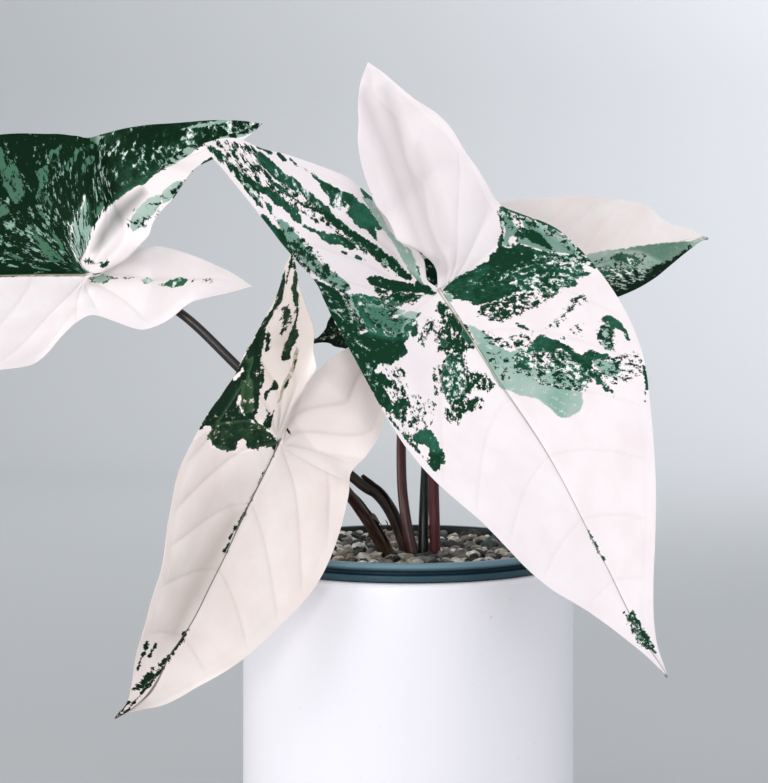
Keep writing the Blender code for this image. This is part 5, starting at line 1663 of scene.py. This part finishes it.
    # The finest vein net is about 2.5 mm wide, and the skin between has a slight grain
    net = add_node(tree, "TexVoronoi", {"Vector": flat, "Scale": 1 / 2.6}, "Distance",
        feature="DISTANCE_TO_EDGE")
    mesh_height = add_node(tree, "MapRange", {"Value": net, "From Max": 0.16})
    veins = add_node(tree, "Bump", {"Strength": 0.12, "Distance": 0.1 * MM, "Height": mesh_height})
    skin = add_node(tree, "Bump", {"Strength": 0.12, "Distance": 0.08 * MM, "Height": specks,
        "Normal": veins})
    tree.links.new(skin, shader.inputs["Normal"])
    return finish


# %% Growing and painting the five blades
# Leaf, pattern, columns, rows, puff, crease and wave in mm, then how strong the vein lines are, how
# far off the midrib its dark lines of painted crease shade run and how strong they are, and the
# colours white, blush, milk, dark, mid and painted shade
BLADES = {
    "front": (FRONT_LEAF, FRONT_PATTERN, 70, 320, 0.24, 0.05, 0.4,
        (0.1, 0.45, 0.55), ("F0EAEA", "ECE3E4", "86AB9C", "0E3723", "33705A", "8C8684")),
    "lower": (LOWER_LEAF, LOWER_PATTERN, 60, 290, 0.62, 0.13, 1.1,
        (0.2, 0.1, 0.8), ("F9F0EB", "F3E6E1", "8F8A74", "10281A", "38583A", "8E8470")),
    "left": (LEFT_LEAF, LEFT_PATTERN, 64, 280, 0.4, 0.06, 0.6,
        (0.16, 0.45, 0.5), ("F3EEED", "EEE5E4", "8DB0A0", "042410", "35694C", "7F837F")),
    "right": (RIGHT_LEAF, RIGHT_PATTERN, 40, 180, 0.12, 0.03, 0.5,
        (0.05, 0.1, 0.12), ("FAF3F0", "F6EAE4", "86A897", "0B2215", "3F6E55", "8E8470")),
    "back": (BACK_LEAF, BACK_PATTERN, 40, 180, 0.4, 0.05, 0.5,
        (0.55, 0.45, 0.6), ("D9D6CC", "CFCABC", "5E8A74", "061F12", "1F4A34", "8E8470")),
}
for leaf_name, (leaf, pattern, columns, rows, *relief, ribs, colours) in BLADES.items():
    blade, places, thickness = grow_blade("blade_of_" + leaf_name, leaf, columns, rows, *relief)
    paint(blade, in_picture(places), pattern)
    thicken(blade, thickness)
    bpy.ops.object.select_all(action="DESELECT")
    blade.select_set(True)
    bpy.ops.object.shade_smooth_by_angle(angle=math.radians(60))
    blade.select_set(False)
    upper_side = leaf_finish(leaf_name + "_leaf_upper_side", *ribs, colours)
    stands_for(blade, upper_side, node_slots[leaf_name + "_blade"], leaf_name + "_blade")
    blade.data.materials.append(leaf_finish(leaf_name + "_leaf_underside", *ribs, colours, under=True))
print("blades:", len(BLADES))

# %% [markdown]
# ## Floor, light and camera
#
# The photograph was taken in soft light. A studio gives the same look with a wide sheet of paper
# that curves up far behind the object, so that the plant can also be looked at from the back. Much
# of the light is even and comes from all round. A small lamp and a wide one at the front left, one
# at the left, one at the front right and one overhead shade the pot and the leaves. Two more light
# the paper behind, brighter at the right. The camera looks level, because the pot's sides run
# parallel in the photograph, and it is shifted instead, like a view camera.

# %% Floor and backdrop
FLOOR_START, FLOOR_BEND, FLOOR_RISE = -1400.0, 1450.0, 500.0
PAPER_LENGTH, PAPER_WIDTH = 4600.0, 4400.0


def paper(a, b):
    """Places on a sheet of paper: flat towards the eye, then a bend, then upright."""
    y = FLOOR_START + b * PAPER_LENGTH
    turn = np.clip((y - FLOOR_BEND) / FLOOR_RISE, 0, math.pi / 2)
    past = np.maximum(y - FLOOR_BEND - FLOOR_RISE * math.pi / 2, 0)
    return np.column_stack([(a - 0.5) * PAPER_WIDTH,
        np.minimum(y, FLOOR_BEND) + FLOOR_RISE * np.sin(turn),
        FLOOR_RISE * (1 - np.cos(turn)) + past])


backdrop = carried_grid("paper_backdrop", 4, 160, paper)
bpy.ops.object.select_all(action="DESELECT")
backdrop.select_set(True)
bpy.ops.object.shade_smooth()
backdrop.select_set(False)
sheet, tree, shader = new_finish("pale_grey_paper", Roughness=0.9)
where = add_node(tree, "TexCoord", {}, "Object")
fibres = add_node(tree, "TexNoise", {"Vector": where, "Scale": 1 / (1.2 * MM), "Detail": 2.0})
tone = lay_over(tree, linear("B4B8B8"), linear("BABEBE"), fibres)
tree.links.new(tone, shader.inputs["Base Color"])
dress(backdrop, sheet)
print("paper:", len(backdrop.data.polygons), "faces")

# %% Light
# A plain view keeps white tissue white; the default one would grey it
bpy.context.scene.view_settings.view_transform = "Standard"
world = bpy.data.worlds.new("soft_room_light")
bpy.context.scene.world = world
world.use_nodes = True
world.node_tree.nodes["Background"].inputs["Color"].default_value = linear("E4E5EA")
world.node_tree.nodes["Background"].inputs["Strength"].default_value = 0.76


def add_lamp(name, place, aim, size, power, colour):
    """A square area lamp at a place in metres, turned towards its aim."""
    data = bpy.data.lights.new(name, "AREA")
    data.size = size
    data.energy = power
    data.color = linear(colour)[:3]
    lamp = bpy.data.objects.new(name, data)
    lamp.location = place
    lamp.rotation_euler = (Vector(aim) - Vector(place)).to_track_quat("-Z", "Y").to_euler()
    bpy.context.scene.collection.objects.link(lamp)


add_lamp("window", (-0.38, -1.3, 0.3), (0, 0, 0.16), 0.4, 3.7, "FFFBFB")
add_lamp("high_window", (-0.5, -1.2, 0.7), (0, 0, 0.15), 1.6, 2.0, "FFFCFB")
add_lamp("left_glow", (-1.15, -0.5, 0.42), (-0.03, 0, 0.2), 0.7, 5.5, "FFFAFB")
add_lamp("right_fill", (0.75, -1.0, 0.6), (0, 0, 0.15), 1.0, 3.5, "FAF8FF")
add_lamp("ceiling", (0.1, 0.3, 1.6), (0.1, 0.2, 0), 1.2, 3.6, "FAFAFF")
add_lamp("wall_light", (0.0, 1.0, 1.5), (-0.1, 1.95, 0.5), 0.8, 6.6, "FAFAFF")
add_lamp("wall_side_light", (0.9, 1.2, 0.9), (0.6, 1.95, 0.6), 0.5, 8.8, "FAF6FF")
print("lamps:", len(bpy.data.lights))

# %% Camera
FILM_HEIGHT = 36

camera = bpy.data.cameras.new("camera")
camera.sensor_fit = "VERTICAL"
camera.sensor_height = FILM_HEIGHT
camera.lens = FILM_HEIGHT * PICTURE_REACH / PICTURE_HEIGHT
camera.shift_y = (PICTURE_CENTRE[1] - PICTURE_HEIGHT / 2) / PICTURE_HEIGHT
camera_object = bpy.data.objects.new("camera", camera)
camera_object.location = [value * MM for value in EYE]
camera_object.rotation_euler = (math.radians(90), 0, 0)
bpy.context.scene.collection.objects.link(camera_object)
bpy.context.scene.camera = camera_object
print("lens:", round(camera.lens, 1), "mm")
